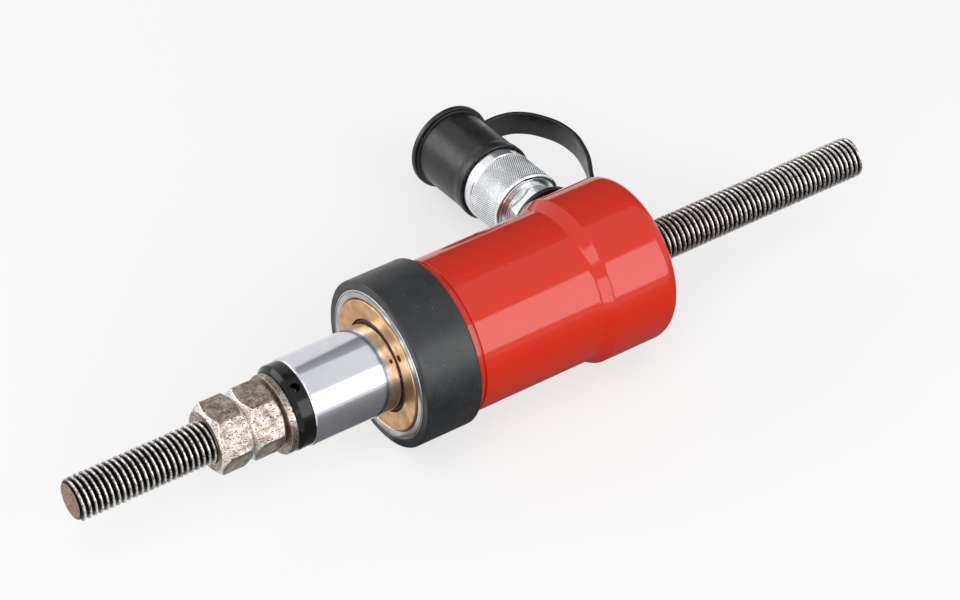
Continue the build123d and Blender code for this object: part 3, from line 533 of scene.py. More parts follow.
@dataclass(frozen=True)
class Finish:
    """A real material, drawn over the piece's own coordinates in millimetres."""

    title: ClassVar[str]

    def material(self) -> bpy.types.Material:
        """Builds the material under the finish's name."""
        made_of = bpy.data.materials.new(self.title)
        tree = empty_tree(made_of)
        place = tree.add("ShaderNodeAttribute", attribute_name=LOCAL).node.outputs["Vector"]
        tree.add("ShaderNodeOutputMaterial", {"Surface": self.surface(tree, place)})
        return made_of

    def surface(self, tree: Tree, place: Socket) -> Socket:
        """Adds the finish's nodes and returns its shader."""
        raise NotImplementedError


@dataclass(frozen=True)
class SprayedEnamel(Finish):
    """Red enamel sprayed thick on steel: a deep even colour under sharp gloss with a faint orange peel.

    Attributes:
        peel: How high the orange peel's waves stand.
        peel_size: How far apart they lie.
    """

    title: ClassVar[str] = "sprayed_red_enamel"
    colour: str = "#cf290e"
    rough: float = 0.09
    peel: float = 0.008
    peel_size: float = 2.2

    def surface(self, tree: Tree, place: Socket) -> Socket:
        """An even colour with the peel's soft waves in its gloss."""
        shader = tree.add("ShaderNodeBsdfPrincipled", {"Base Color": self.colour, "Roughness": self.rough})
        waves = tree.add("ShaderNodeTexNoise", {"Vector": place, "Scale": 1 / self.peel_size, "Detail": 2.0})
        tree.relief(shader, waves, self.peel)
        return shader


@dataclass(frozen=True)
class PatchyFinish(Finish):
    """A finish whose tone and gloss change slowly from one irregular patch to the next.

    Attributes:
        colour: The tone of one kind of patch.
        dull: The tone of the other kind.
        rough: The roughness of the first kind.
        rough_change: How much rougher the other kind is.
        patch: The size of a patch.
        span: The values of the noise from which the one and up to which the other kind spreads.
        detail: How finely the patches' edges are broken up.
    """

    colour: str
    dull: str
    rough: float
    rough_change: float = 0.1
    patch: float = 9.0
    span: tuple[float, float] = (0.35, 0.65)
    detail: float = 4.0

    def patches(self, tree: Tree, place: Socket) -> tuple[Socket, Socket]:
        """Adds the patches.

        Args:
            tree: The material's tree.
            place: The piece's own coordinates.

        Returns:
            The colour and the roughness.
        """
        noise = {"Vector": place, "Scale": 1 / self.patch, "Detail": self.detail}
        low, high = self.span
        share = tree.add("ShaderNodeMapRange", {0: tree.add("ShaderNodeTexNoise", noise), 1: low, 2: high})
        tones = {"Factor": share, "A": self.colour, "B": self.dull}
        gloss = {0: share, 1: self.rough_change, 2: self.rough}
        rough = tree.add("ShaderNodeMath", gloss, operation="MULTIPLY_ADD")
        return tree.add("ShaderNodeMix", tones, data_type="RGBA"), rough


@dataclass(frozen=True)
class TurnedMetal(PatchyFinish):
    """Bare metal from the lathe: its reflections are drawn out across fine rings, with slow changes of tone.

    The rings are drawn two or three times as coarse as a lathe leaves them, so that the render shows them.

    Attributes:
        ring: How high the rings stand.
        ring_size: How far apart they lie.
    """

    title: ClassVar[str] = "turned_steel"
    colour: str = "#c3c1bf"
    dull: str = "#a5a19e"
    rough: float = 0.2
    ring: float = 0.006
    ring_size: float = 0.22

    def surface(self, tree: Tree, place: Socket) -> Socket:
        """Rings in the relief, and patches in colour and gloss."""
        tone, rough = self.patches(tree, place)
        colour = self.covered(tree, tone)
        inputs = {"Base Color": colour, "Metallic": 1.0, "Roughness": rough}
        shader = tree.add("ShaderNodeBsdfPrincipled", inputs)
        tree.relief(shader, tree.rings(place, self.ring_size), self.ring)
        return shader

    def covered(self, tree: Tree, tone: Socket) -> Socket:
        """The metal's tone under what lies on it, which is nothing on a clean piece."""
        return tone


@dataclass(frozen=True)
class HardChrome(TurnedMetal):
    """Ground and polished hard chrome: cool, nearly a mirror, with hair-fine rings."""

    title: ClassVar[str] = "polished_hard_chrome"
    colour: str = "#dcdee4"
    dull: str = "#d5d7dd"
    rough: float = 0.1
    rough_change: float = 0.04
    patch: float = 14.0
    ring: float = 0.0012
    ring_size: float = 0.3


@dataclass(frozen=True)
class BearingBronze(TurnedMetal):
    """Machined tin bronze: warm gold with visible rings on its face."""

    title: ClassVar[str] = "machined_bronze"
    colour: str = "#dfb384"
    dull: str = "#b98a5b"
    rough: float = 0.26
    rough_change: float = 0.12
    patch: float = 7.0
    ring: float = 0.01
    ring_size: float = 0.3


@dataclass(frozen=True)
class SpringSteel(TurnedMetal):
    """Drawn spring wire: grey, with an even half gloss."""

    title: ClassVar[str] = "drawn_spring_steel"
    colour: str = "#85888b"
    dull: str = "#74777a"
    rough: float = 0.3


@dataclass(frozen=True)
class ZincPlate(TurnedMetal):
    """Bright zinc on turned steel: pale with a blue cast, fine rings, and the knurl's grooves darkened by
    dirt and painted shade.
    """

    title: ClassVar[str] = "bright_zinc_plate"
    colour: str = "#f4f6f8"
    dull: str = "#e7eaee"
    # The dark tone in the knurl's grooves: dirt and painted shade
    grime_and_shade: str = "#2b2a2c"
    rough: float = 0.15
    rough_change: float = 0.08
    patch: float = 5.0
    ring: float = 0.008
    ring_size: float = 0.35

    def covered(self, tree: Tree, tone: Socket) -> Socket:
        """The plate's tone with the dark tone of dirt and painted shade over it where the piece carries some.
        """
        groove_darkness = tree.add("ShaderNodeAttribute", attribute_name=GRIME_AND_SHADE).node.outputs["Fac"]
        return tree.add("ShaderNodeMix", {"Factor": groove_darkness, "A": tone, "B": self.grime_and_shade}, data_type="RGBA")


@dataclass(frozen=True)
class ThreadSteel(Finish):
    """A rolled thread in plain steel: crests rubbed bright, roots painted dark as shade with oil and dirt, a
    sawn end gone brown.

    The shank between the threads is marked as rubbed and shows the plain drawn bar.

    Attributes:
        root_shade_radius: The distance from the rod's axis up to which the thread is painted dark as shade in
            its roots.
        crest_radius: The distance from which it is bright.
        end_radius: The distance within which the rod's sawn end shows.
        worn: The values of the flecks between which the crests go from their dullest to bright.
        worn_least: The share of the bright tone that the dullest flecks keep.
        clean: The values of the flecks between which the sawn end goes from dark to light.
        rough_span: The values of the flecks between which the roughness grows.
    """

    title: ClassVar[str] = "rolled_thread_steel"
    crest: str = "#f0ebe6"
    # Near black in the roots: painted shade, with oil and dirt
    root: str = "#100f0e"
    bar: str = "#8f8b87"
    end: str = "#b48d79"
    end_dark: str = "#6a4c40"
    root_shade_radius: float = 8.1
    crest_radius: float = 8.95
    end_radius: float = 7.4
    fleck_size: float = 0.9
    worn: tuple[float, float] = (0.34, 0.58)
    worn_least: float = 0.25
    clean: tuple[float, float] = (0.42, 0.6)
    rough: float = 0.3
    rough_change: float = 0.2
    rough_span: tuple[float, float] = (0.3, 0.7)

    def surface(self, tree: Tree, place: Socket) -> Socket:
        """Colour by the distance from the rod's axis, with painted shade in the roots, broken by flecks."""
        radius = tree.radius(place)
        # Dark roots to bright crests by radius: the dark roots are painted shade
        height = tree.add("ShaderNodeMapRange", {0: radius, 1: self.root_shade_radius, 2: self.crest_radius})
        noise = {"Vector": place, "Scale": 1 / self.fleck_size, "Detail": 4.0}
        flecks = tree.add("ShaderNodeTexNoise", noise)
        low, high = self.worn
        worn = tree.add("ShaderNodeMapRange", {0: flecks, 1: low, 2: high, 3: self.worn_least, 4: 1.0})
        share = tree.add("ShaderNodeMath", {0: height, 1: worn}, operation="MULTIPLY")
        tones = {"Factor": share, "A": self.root, "B": self.crest}
        thread = tree.add("ShaderNodeMix", tones, data_type="RGBA")
        low, high = self.clean
        clean = tree.add("ShaderNodeMapRange", {0: flecks, 1: low, 2: high})
        tones = {"Factor": clean, "A": self.end_dark, "B": self.end}
        sawn = tree.add("ShaderNodeMix", tones, data_type="RGBA")
        face = tree.add("ShaderNodeMath", {0: radius, 1: self.end_radius}, operation="LESS_THAN")
        drawn = tree.add("ShaderNodeAttribute", attribute_name=RUBBED).node.outputs["Fac"]
        steel = tree.add("ShaderNodeMix", {"Factor": drawn, "A": thread, "B": self.bar}, data_type="RGBA")
        colour = tree.add("ShaderNodeMix", {"Factor": face, "A": steel, "B": sawn}, data_type="RGBA")
        low, high = self.rough_span
        gloss = {0: flecks, 1: low, 2: high, 3: self.rough, 4: self.rough + self.rough_change}
        rough = tree.add("ShaderNodeMapRange", gloss)
        inputs = {"Base Color": colour, "Metallic": 1.0, "Roughness": rough}
        return tree.add("ShaderNodeBsdfPrincipled", inputs)


@dataclass(frozen=True)
class ForgedSteel(PatchyFinish):
    """Hot-forged steel with a trace of oil: brown-grey, rubbed bright on its cones, with dark pits.

    Attributes:
        bright: The colour where handling rubs it.
        pit: The colour of the pits.
        pit_size: The size of a pit.
        pit_run: How far the pits are drawn out along the piece, where 1 is not at all.
        pit_depth: How deep they are.
        pit_span: The values of the noise between which the skin turns to pit.
    """

    title: ClassVar[str] = "forged_steel"
    colour: str = "#b4aaa3"
    dull: str = "#8a7d74"
    bright: str = "#e2dad3"
    pit: str = "#4b342a"
    rough: float = 0.3
    rough_change: float = 0.12
    patch: float = 3.0
    span: tuple[float, float] = (0.38, 0.62)
    detail: float = 6.0
    pit_size: float = 0.5
    pit_run: float = 0.5
    pit_depth: float = 0.02
    pit_span: tuple[float, float] = (0.54, 0.62)

    def surface(self, tree: Tree, place: Socket) -> Socket:
        """Patches of tone, the bright cones, and pits that are both dark and sunk."""
        skin, rough = self.patches(tree, place)
        cones = tree.add("ShaderNodeAttribute", attribute_name=RUBBED).node.outputs["Fac"]
        base = tree.add("ShaderNodeMix", {"Factor": cones, "A": skin, "B": self.bright}, data_type="RGBA")
        run = tree.add("ShaderNodeVectorMath", {0: place, 1: (self.pit_run, 1, 1)}, operation="MULTIPLY")
        grain = tree.add("ShaderNodeTexNoise", {"Vector": run, "Scale": 1 / self.pit_size, "Detail": 5.0})
        low, high = self.pit_span
        pits = tree.add("ShaderNodeMapRange", {0: grain, 1: low, 2: high})
        colour = tree.add("ShaderNodeMix", {"Factor": pits, "A": base, "B": self.pit}, data_type="RGBA")
        inputs = {"Base Color": colour, "Metallic": 1.0, "Roughness": rough}
        shader = tree.add("ShaderNodeBsdfPrincipled", inputs)
        tree.relief(shader, pits, -self.pit_depth)
        return shader


@dataclass(frozen=True)
class BlackOxide(Finish):
    """Oiled black oxide on turned steel: near black and glossy, with sharp edge lights."""

    title: ClassVar[str] = "oiled_black_oxide"
    colour: str = "#0a0a0b"
    rough: float = 0.13
    gloss: float = 0.3
    ring: float = 0.002
    ring_size: float = 0.3

    def surface(self, tree: Tree, place: Socket) -> Socket:
        """An even black with the lathe's rings under its oil."""
        inputs = {"Base Color": self.colour, "Roughness": self.rough, "Specular IOR Level": self.gloss}
        shader = tree.add("ShaderNodeBsdfPrincipled", inputs)
        tree.relief(shader, tree.rings(place, self.ring_size), self.ring)
        return shader


@dataclass(frozen=True)
class MouldedBlack(PatchyFinish):
    """Moulded black plastic or rubber: a soft sheen on a fine grain, with scuffs and specks of dust.

    The grain is drawn about three times as coarse as the mould leaves it, so that the render shows it.

    Attributes:
        grain: How high the grain stands.
        grain_size: How far apart its bumps lie.
        dust_size: How far apart the specks of dust lie.
        dust_share: How much of that a speck takes.
    """

    title: ClassVar[str] = "moulded_black_plastic"
    colour: str = "#181c1e"
    dull: str = "#202527"
    dust: str = "#9aa1a5"
    rough: float = 0.38
    patch: float = 7.0
    span: tuple[float, float] = (0.4, 0.62)
    detail: float = 6.0
    grain: float = 0.012
    grain_size: float = 0.7
    dust_size: float = 1.9
    dust_share: float = 0.08

    def surface(self, tree: Tree, place: Socket) -> Socket:
        """Scuffed patches, a grain in the relief and the dust over both."""
        base, rough = self.patches(tree, place)
        dust = tree.specks(place, self.dust_size, self.dust_share)
        colour = tree.add("ShaderNodeMix", {"Factor": dust, "A": base, "B": self.dust}, data_type="RGBA")
        shader = tree.add("ShaderNodeBsdfPrincipled", {"Base Color": colour, "Roughness": rough})
        noise = {"Vector": place, "Scale": 1 / self.grain_size, "Detail": 3.0}
        tree.relief(shader, tree.add("ShaderNodeTexNoise", noise), self.grain)
        return shader


@dataclass(frozen=True)
class CapRubber(MouldedBlack):
    """Black rubber of the cap and its strap: darker, a little shinier and more rubbed than the guard."""

    title: ClassVar[str] = "moulded_black_rubber"
    colour: str = "#08090a"
    dull: str = "#121416"
    rough: float = 0.3
    patch: float = 3.5


@dataclass(frozen=True)
class SealRubber(MouldedBlack):
    """Black nitrile of the seals: matt and clean."""

    title: ClassVar[str] = "nitrile_rubber"
    colour: str = "#18191a"
    dull: str = "#1f2021"
    rough: float = 0.5
    dust_share: float = 0.001


@dataclass(frozen=True)
class FilledBand(MouldedBlack):
    """The plunger head's wear band: brown filled plastic, matt and even."""

    title: ClassVar[str] = "filled_wear_band"
    colour: str = "#5d3f2a"
    dull: str = "#6a4a33"
    rough: float = 0.6
    dust_share: float = 0.001


FINISHES = {
    Slot.RED_PAINT: SprayedEnamel(),
    Slot.HARD_CHROME: HardChrome(),
    Slot.TUBE_STEEL: TurnedMetal(),
    Slot.BRONZE: BearingBronze(),
    Slot.BLACK_PLASTIC: MouldedBlack(),
    Slot.BLACK_OXIDE: BlackOxide(),
    Slot.ROD_STEEL: ThreadSteel(),
    Slot.RAW_STEEL: ForgedSteel(),
    Slot.ZINC_PLATE: ZincPlate(),
    Slot.SPRING_STEEL: SpringSteel(),
    Slot.SEAL_RUBBER: SealRubber(),
    Slot.WEAR_RING: FilledBand(),
    Slot.BLACK_RUBBER: CapRubber(),
}


@dataclass(frozen=True)
class Rule:
    """A geometry-node tree with named inputs that ends in plain, finished geometry."""

    title: ClassVar[str]
    inputs: ClassVar[dict[str, str]]

    def group(self) -> bpy.types.NodeTree:
        """Builds the node group."""
        group = bpy.data.node_groups.new(self.title, "GeometryNodeTree")
        group.interface.new_socket("Geometry", in_out="INPUT", socket_type="NodeSocketGeometry")
        for name, kind in (*self.inputs.items(), ("Material", "Material")):
            group.interface.new_socket(name, in_out="INPUT", socket_type=f"NodeSocket{kind}")
        group.interface.new_socket("Geometry", in_out="OUTPUT", socket_type="NodeSocketGeometry")
        tree = Tree(group)
        given = tree.add("NodeGroupInput").node.outputs
        real = tree.add("GeometryNodeRealizeInstances", {"Geometry": self.grown(tree, given)})
        done = tree.add("GeometryNodeSetMaterial", {"Geometry": real, "Material": given["Material"]})
        tree.add("NodeGroupOutput", {"Geometry": done})
        return group

    def grown(self, tree: Tree, given: bpy.types.NodeOutputs) -> Socket:
        """Adds the rule's own nodes and returns its geometry."""
        raise NotImplementedError

    def run(
        self,
        name: str,
        group: bpy.types.NodeTree,
        spindle: Spindle,
        material: bpy.types.Material,
        values: dict[str, float],
        source: bpy.types.ID | None = None,
    ) -> bpy.types.Object:
        """Runs the rule and keeps its result as a plain mesh on a spindle.

        Args:
            name: The piece's name.
            group: The rule's node group.
            spindle: Where the rule's X axis goes.
            material: What the result is made of.
            values: Input names to lengths in millimetres and to counts.
            source: The data that the rule starts from, or None for an empty mesh.

        Returns:
            The mesh object.
        """
        start = linked(name + "_rule", source or bpy.data.meshes.new(name))
        rule = start.modifiers.new("rule", "NODES")
        rule.node_group = group
        items = group.interface.items_tree
        sockets = {item.name: item.identifier for item in items if item.in_out == "INPUT"}
        rule[sockets["Material"]] = material
        for key, value in values.items():
            rule[sockets[key]] = value * MM if self.inputs[key] == "Float" else value
        graph = bpy.context.evaluated_depsgraph_get()
        mesh = bpy.data.meshes.new_from_object(start.evaluated_get(graph))
        bpy.data.objects.remove(start)
        basis = Matrix(spindle.basis().tolist()).transposed().to_4x4()
        mesh.transform(Matrix.Translation(Vector(spindle.origin) * MM) @ basis)
        return linked(name, mesh)


@dataclass(frozen=True)
class SleeveRule(Rule):
    """A closed sleeve round the X axis whose outer wall rises and falls with a pattern.

    Attributes:
        wall_row: The first row of the outer wall. The rows before it and the last row lie inside.
        hidden_rows: How many rows lie inside.
        around: Steps round the sleeve.
        per_pitch: Rows of faces in one pitch.
    """

    inputs: ClassVar[dict[str, str]] = {
        "Start": "Float", "End": "Float", "Radius": "Float", "Inner": "Float", "Pitch": "Float",
        "Depth": "Float", "Start Chamfer": "Float", "End Chamfer": "Float", "Rows": "Int",
    }
    wall_row: ClassVar[float] = 2.0
    hidden_rows: ClassVar[int] = 3
    around: int = 80
    per_pitch: int = 12

    def height(self, tree: Tree, turn: Socket, pitches: Socket) -> Socket:
        """The pattern, from 0 in a groove to 1 on a ridge.

        Args:
            tree: The tree that it joins.
            turn: The share of a turn.
            pitches: How many pitches lie between the frame's zero and the place.

        Returns:
            The height as a share of the depth.
        """
        raise NotImplementedError

    def rows(self, start: float, end: float, pitch: float) -> int:
        """How many rows of points a sleeve needs, with those inside."""
        return round((end - start) / pitch * self.per_pitch) + 1 + self.hidden_rows

    def grown(self, tree: Tree, given: bpy.types.NodeOutputs) -> Socket:
        """Wraps a grid into the sleeve: two rows inside, the outer wall, and a last row inside."""
        size = {"Size X": 1.0, "Size Y": 1.0, "Vertices X": self.around + 1, "Vertices Y": given["Rows"]}
        grid = tree.add("GeometryNodeMeshGrid", size)
        spot = tree.add("ShaderNodeSeparateXYZ", {0: tree.add("GeometryNodeInputPosition")}).node.outputs
        turn = tree.add("ShaderNodeMath", {0: spot[0], 1: 0.5}, operation="ADD")
        up = tree.add("ShaderNodeMath", {0: spot[1], 1: 0.5}, operation="ADD")
        last = tree.add("ShaderNodeMath", {0: given["Rows"], 1: 1.0}, operation="SUBTRACT")
        level = tree.add("ShaderNodeMath", {0: up, 1: last}, operation="MULTIPLY")
        row = tree.add("ShaderNodeMath", {0: level}, operation="ROUND")
        end_row = tree.add("ShaderNodeMath", {0: last, 1: 1.0}, operation="SUBTRACT")
        span = {0: row, 1: self.wall_row, 2: end_row, 3: given["Start"], 4: given["End"]}
        wall = tree.add("ShaderNodeMapRange", span)
        first = tree.add("ShaderNodeMath", {0: row, 1: 0.5}, operation="LESS_THAN")
        along = tree.add("ShaderNodeMix", {"Factor": first, "A": wall, "B": given["End"]})
        outer = self._outer(tree, given, turn, along)
        low_wall = tree.add("ShaderNodeMath", {0: row, 1: self.wall_row - 0.5}, operation="LESS_THAN")
        high_wall = tree.add("ShaderNodeMath", {0: row, 1: end_row}, operation="GREATER_THAN")
        inside = tree.add("ShaderNodeMath", {0: low_wall, 1: high_wall}, operation="MAXIMUM")
        radius = tree.add("ShaderNodeMix", {"Factor": inside, "A": outer, "B": given["Inner"]})
        angle = tree.add("ShaderNodeMath", {0: turn, 1: math.tau}, operation="MULTIPLY")
        place = {0: along}
        for side, way in ((1, "COSINE"), (2, "SINE")):
            share = tree.add("ShaderNodeMath", {0: angle}, operation=way)
            place[side] = tree.add("ShaderNodeMath", {0: radius, 1: share}, operation="MULTIPLY")
        position = tree.add("ShaderNodeCombineXYZ", place)
        moved = tree.add("GeometryNodeSetPosition", {"Geometry": grid, "Position": position})
        closed = tree.add("GeometryNodeMergeByDistance", {"Geometry": moved, "Distance": MERGE})
        return tree.add("GeometryNodeFlipFaces", {"Mesh": closed})

    def _outer(self, tree: Tree, given: bpy.types.NodeOutputs, turn: Socket, along: Socket) -> Socket:
        """Adds the outer wall's radius, with the pattern in it and a chamfer at each end.

        Args:
            tree: The tree that it joins.
            given: The rule's inputs.
            turn: The share of a turn.
            along: The place along the sleeve.

        Returns:
            The radius.
        """
        pitches = tree.add("ShaderNodeMath", {0: along, 1: given["Pitch"]}, operation="DIVIDE")
        height = self.height(tree, turn, pitches)
        drop = tree.add("ShaderNodeMath", {0: height, 1: -1.0}, operation="ADD")
        sunk = {0: drop, 1: given["Depth"], 2: given["Radius"]}
        radius = tree.add("ShaderNodeMath", sunk, operation="MULTIPLY_ADD")
        ends = (("Start Chamfer", given["Start"], along), ("End Chamfer", along, given["End"]))
        for chamfer, low, high in ends:
            gap = tree.add("ShaderNodeMath", {0: high, 1: low}, operation="SUBTRACT")
            face = tree.add("ShaderNodeMath", {0: given["Radius"], 1: given[chamfer]}, operation="SUBTRACT")
            limit = tree.add("ShaderNodeMath", {0: face, 1: gap}, operation="ADD")
            radius = tree.add("ShaderNodeMath", {0: radius, 1: limit}, operation="MINIMUM")
        return radius


@dataclass(frozen=True)
class ThreadRule(SleeveRule):
    """A right-hand screw thread.

    Attributes:
        crest: The share of the pitch that the flat crest takes.
        root: The share that the flat root takes.
    """

    title: ClassVar[str] = "thread_rule"
    crest: float = 0.2
    root: float = 0.18

    def height(self, tree: Tree, turn: Socket, pitches: Socket) -> Socket:
        """Straight flanks between flat crests and roots that climb with the turn."""
        climb = tree.add("ShaderNodeMath", {0: pitches, 1: turn}, operation="SUBTRACT")
        return tree.add("ShaderNodeMapRange", {0: tree.wave(climb), 1: self.root, 2: 1 - self.crest})


@dataclass(frozen=True)
class KnurlRule(SleeveRule):
    """A diamond knurl.

    Attributes:
        count: Diamonds round the sleeve.
        top: The height, as a share, at which the diamonds' points are rolled flat.
    """

    title: ClassVar[str] = "knurl_rule"
    around: int = 552
    per_pitch: int = 6
    count: int = 92
    top: float = 0.7

    def height(self, tree: Tree, turn: Socket, pitches: Socket) -> Socket:
        """The lower of two sets of ridges that cross."""
        across = tree.add("ShaderNodeMath", {0: turn, 1: float(self.count)}, operation="MULTIPLY")
        right = tree.wave(tree.add("ShaderNodeMath", {0: across, 1: pitches}, operation="ADD"))
        left = tree.wave(tree.add("ShaderNodeMath", {0: across, 1: pitches}, operation="SUBTRACT"))
        lower = tree.add("ShaderNodeMath", {0: right, 1: left}, operation="MINIMUM")
        return tree.add("ShaderNodeMapRange", {0: lower, 1: 0.0, 2: self.top})


@dataclass(frozen=True)
class StrapRule(Rule):
    """A flat strap swept along a curve that lies in its own XY plane.

    Attributes:
        steps: Cross sections along the strap.
        arc: Steps in each rounded edge.
    """

    title: ClassVar[str] = "strap_rule"
    inputs: ClassVar[dict[str, str]] = {"Width": "Float", "Thickness": "Float", "Edge": "Float"}
    steps: int = 110
    arc: int = 4

    def grown(self, tree: Tree, given: bpy.types.NodeOutputs) -> Socket:
        """Sweeps a rectangle with rounded edges along the evened-out curve."""
        even = tree.add("GeometryNodeResampleCurve", {"Curve": given["Geometry"], "Count": self.steps})
        upright = tree.add("GeometryNodeSetCurveNormal", {"Curve": even}, mode="Z_UP")
        size = {"Width": given["Thickness"], "Height": given["Width"]}
        section = tree.add("GeometryNodeCurvePrimitiveQuadrilateral", size)
        edges = {"Curve": section, "Radius": given["Edge"], "Count": self.arc}
        soft = tree.add("GeometryNodeFilletCurve", edges, mode="POLY")
        sweep = {"Curve": upright, "Profile Curve": soft, "Fill Caps": True}
        return tree.add("GeometryNodeCurveToMesh", sweep)


@dataclass(frozen=True)
class Hexagon:
    """A hexagon with coned faces and softened edges, for nuts and the nipple.

    Attributes:
        flats: Its size across the flats.
        face: The radius of its round faces.
        slope: The cones' slope in degrees.
        turn: The angle of its first flat in degrees.
        bore: The radius of its hole.
        countersink: The chamfer of its hole.
        softness: How widely a cone rounds over into the sides, in millimetres.
        sharpness: How tightly two sides meet at a corner.
        around: Steps round it.
        cone_steps: Rows of points up a cone.
        cone_overrun: How far those rows run on past a corner's cone, as a share of its length.
    """

    flats: float
    face: float
    slope: float
    turn: float
    bore: float
    countersink: float
    softness: ClassVar[float] = 0.22
    sharpness: ClassVar[float] = 70.0
    around: ClassVar[int] = 360
    cone_steps: ClassVar[int] = 16
    cone_overrun: ClassVar[float] = 1.15

    def build(self, name: str, spindle: Spindle, start: float, end: float) -> bpy.types.Object:
        """Makes the hexagon between two places along a spindle.

        Args:
            name: The piece's name.
            spindle: What it sits on.
            start: Where it starts.
            end: Where it ends.

        Returns:
            A closed mesh object.
        """
        angles = np.arange(self.around) * math.tau / self.around
        sides = np.radians(self.turn + np.arange(0, 360, SIDE_ANGLE))
        facing = np.cos(angles[:, None] - sides)
        side = self.flats / 2 / (np.log(np.exp(self.sharpness * facing).sum(axis=1)) / self.sharpness)
        rise = math.tan(math.radians(self.slope))
        cone_length = (self.flats / 2 / math.cos(math.pi / 6) - self.face) * rise
        steps = np.linspace(0, cone_length * self.cone_overrun, self.cone_steps)
        steps = np.append(steps, (end - start) / 2)
        rings = [(start, np.full(self.around, self.bore + self.countersink))]
        for along in (*(start + steps), *(end - steps[-2::-1])):
            cone = self.face + min(along - start, end - along) / rise
            rings.append((along, (side + cone - np.sqrt((side - cone) ** 2 + self.softness**2)) / 2))
        rings.append((end, np.full(self.around, self.bore + self.countersink)))
        rings.append((end - self.countersink, np.full(self.around, self.bore)))
        rings.append((start + self.countersink, np.full(self.around, self.bore)))
        return rubbed(rings_mesh(name, rings, angles, spindle), spindle)


@dataclass(frozen=True)
class CylinderBody:
    """The red turned body with its boss and bare steel nose.

    Attributes:
        groove: The width and depth of the groove before the flange.
        seat: The radius and depth of the bush's seat.
        line: The radius, width and depth of the line turned into the nose's face.
        boss_foot: How far outside the bore the boss starts.
    """

    spindle: Spindle
    port: Spindle
    body: Reach
    radius: float
    front_radius: float = 33.1
    step_start: float = 32.5
    step_end: float = 37.52
    step_crest: float = 2.0
    step_root: float = 3.0
    rear_round: float = 6.0
    nose_start: float = 98.7
    flange: float = 3.0
    groove: tuple[float, float] = (1.0, 0.9)
    nose_radius: float = 32.3
    bore: float = 27.0
    bore_floor: float = 11.0
    floor_round: float = 1.5
    seat: tuple[float, float] = (28.3, 18.0)
    mouth_chamfer: float = 0.7
    tube: float = 12.5
    line: tuple[float, float, float] = (31.2, 0.35, 0.5)
    boss_radius: float = 14.0
    boss_height: float = 38.0
    boss_edge: float = 0.9
    boss_foot: float = 3.0

    def build(self, shop: Shop) -> None:
        """Makes the painted shell, the boss and the nose."""
        flange_start = self.nose_start - self.flange
        width, depth = self.groove
        front, groove_floor = self.front_radius, self.front_radius - depth
        shop.turn("body_shell", self.spindle, [
            (0, self.tube, 0.4), (0, self.radius, self.rear_round),
            (self.step_start, self.radius, self.step_crest), (self.step_end, front, self.step_root),
            (flange_start - width, front, 0.25), (flange_start - width, groove_floor, 0.2),
            (flange_start, groove_floor, 0.2), (flange_start, front, 0.3),
            (self.nose_start, front, 0.25), (self.nose_start, self.bore, 0),
            (self.bore_floor, self.bore, self.floor_round), (self.bore_floor, self.tube, 0),
        ], Body.CYLINDER, Slot.RED_PAINT, "cylinder_body")
        foot = self.bore + self.boss_foot
        shop.turn("port_boss", self.port, [
            (foot, 0, 0), (foot, self.boss_radius, 0),
            (self.boss_height, self.boss_radius, self.boss_edge), (self.boss_height, 0, 0),
        ], Body.CYLINDER, Slot.RED_PAINT)
        self._nose(shop)

    def _nose(self, shop: Shop) -> None:
        """Makes the bare nose, with the line turned into its face."""
        seat, seat_depth = self.seat
        line, width, depth = self.line
        end, chamfer = self.body.end, self.mouth_chamfer
        shop.turn("body_nose", self.spindle, [
            (self.nose_start, self.bore, 0), (self.nose_start, self.nose_radius, 0),
            (end, self.nose_radius, 0.5), (end, line + width, 0.05), (end - depth, line + width, 0),
            (end - depth, line, 0), (end, line, 0.05), (end, seat + chamfer, 0.1),
            (end - chamfer, seat, 0.1), (end - seat_depth, seat, 0), (end - seat_depth, self.bore, 0),
        ], Body.CYLINDER, Slot.TUBE_STEEL)


@dataclass(frozen=True)
class GuideBush:
    """The bronze bush in the body's mouth, with its wiper and the thread guard round the nose.

    Attributes:
        recess: The radius and depth of the wiper's recess.
        wiper_lip: How far the wiper's face slopes back, and how thick its lip is.
    """

    spindle: Spindle
    bush: Reach
    wiper: Reach
    guard: Reach
    recess: tuple[float, float] = (20.0, 3.0)
    wiper_lip: tuple[float, float] = (0.6, 0.4)
    pin_radius: float = 1.5
    pin_circle: float = 22.65
    pin_angles: tuple[float, float] = (48.0, 228.0)
    pin_depth: float = 3.0

    def build(self, shop: Shop) -> None:
        """Makes the bush, the wiper and the guard."""
        start, end, bore = self.bush.start, self.bush.end, self.bush.inner
        radius, depth = self.recess
        bush = turned("bush", self.spindle, [
            (start, bore, 0), (start, self.bush.outer, 0), (end, self.bush.outer, 0.6),
            (end, radius, 0.5), (end - depth, radius, 0), (end - depth, bore, 0),
        ])
        drilled(bush, [self._pin_hole(math.radians(angle)) for angle in self.pin_angles])
        shop.mount(bush, self.spindle, Body.CYLINDER, Slot.BRONZE, "guide_bush")
        wiper = self.wiper
        slope, lip = self.wiper_lip
        shop.turn("wiper", self.spindle, [
            (wiper.start, wiper.inner, 0), (wiper.start, wiper.outer, 0),
            (wiper.end - slope, wiper.outer, 0.1), (wiper.end, wiper.inner + lip, 0.1),
            (wiper.end, wiper.inner, 0.05),
        ], Body.CYLINDER, Slot.SEAL_RUBBER, "wiper_ring")
        guard = self.guard
        shop.turn("guard", self.spindle, [
            (guard.start, guard.inner, 0.3), (guard.start, guard.outer, 0.9),
            (guard.end, guard.outer, 0.9), (guard.end, guard.inner, 0.4),
        ], Body.GUARD, Slot.BLACK_PLASTIC, "thread_guard")

    def _pin_hole(self, angle: float) -> bpy.types.Object:
        """A plug that stands where a pin wrench's hole goes in the bush's face."""
        origin = (0.0, self.pin_circle * math.cos(angle), self.pin_circle * math.sin(angle))
        side = Spindle(origin, self.spindle.along, self.spindle.across)
        return plug(side, self.bush.end - self.pin_depth, self.bush.end, self.pin_radius)


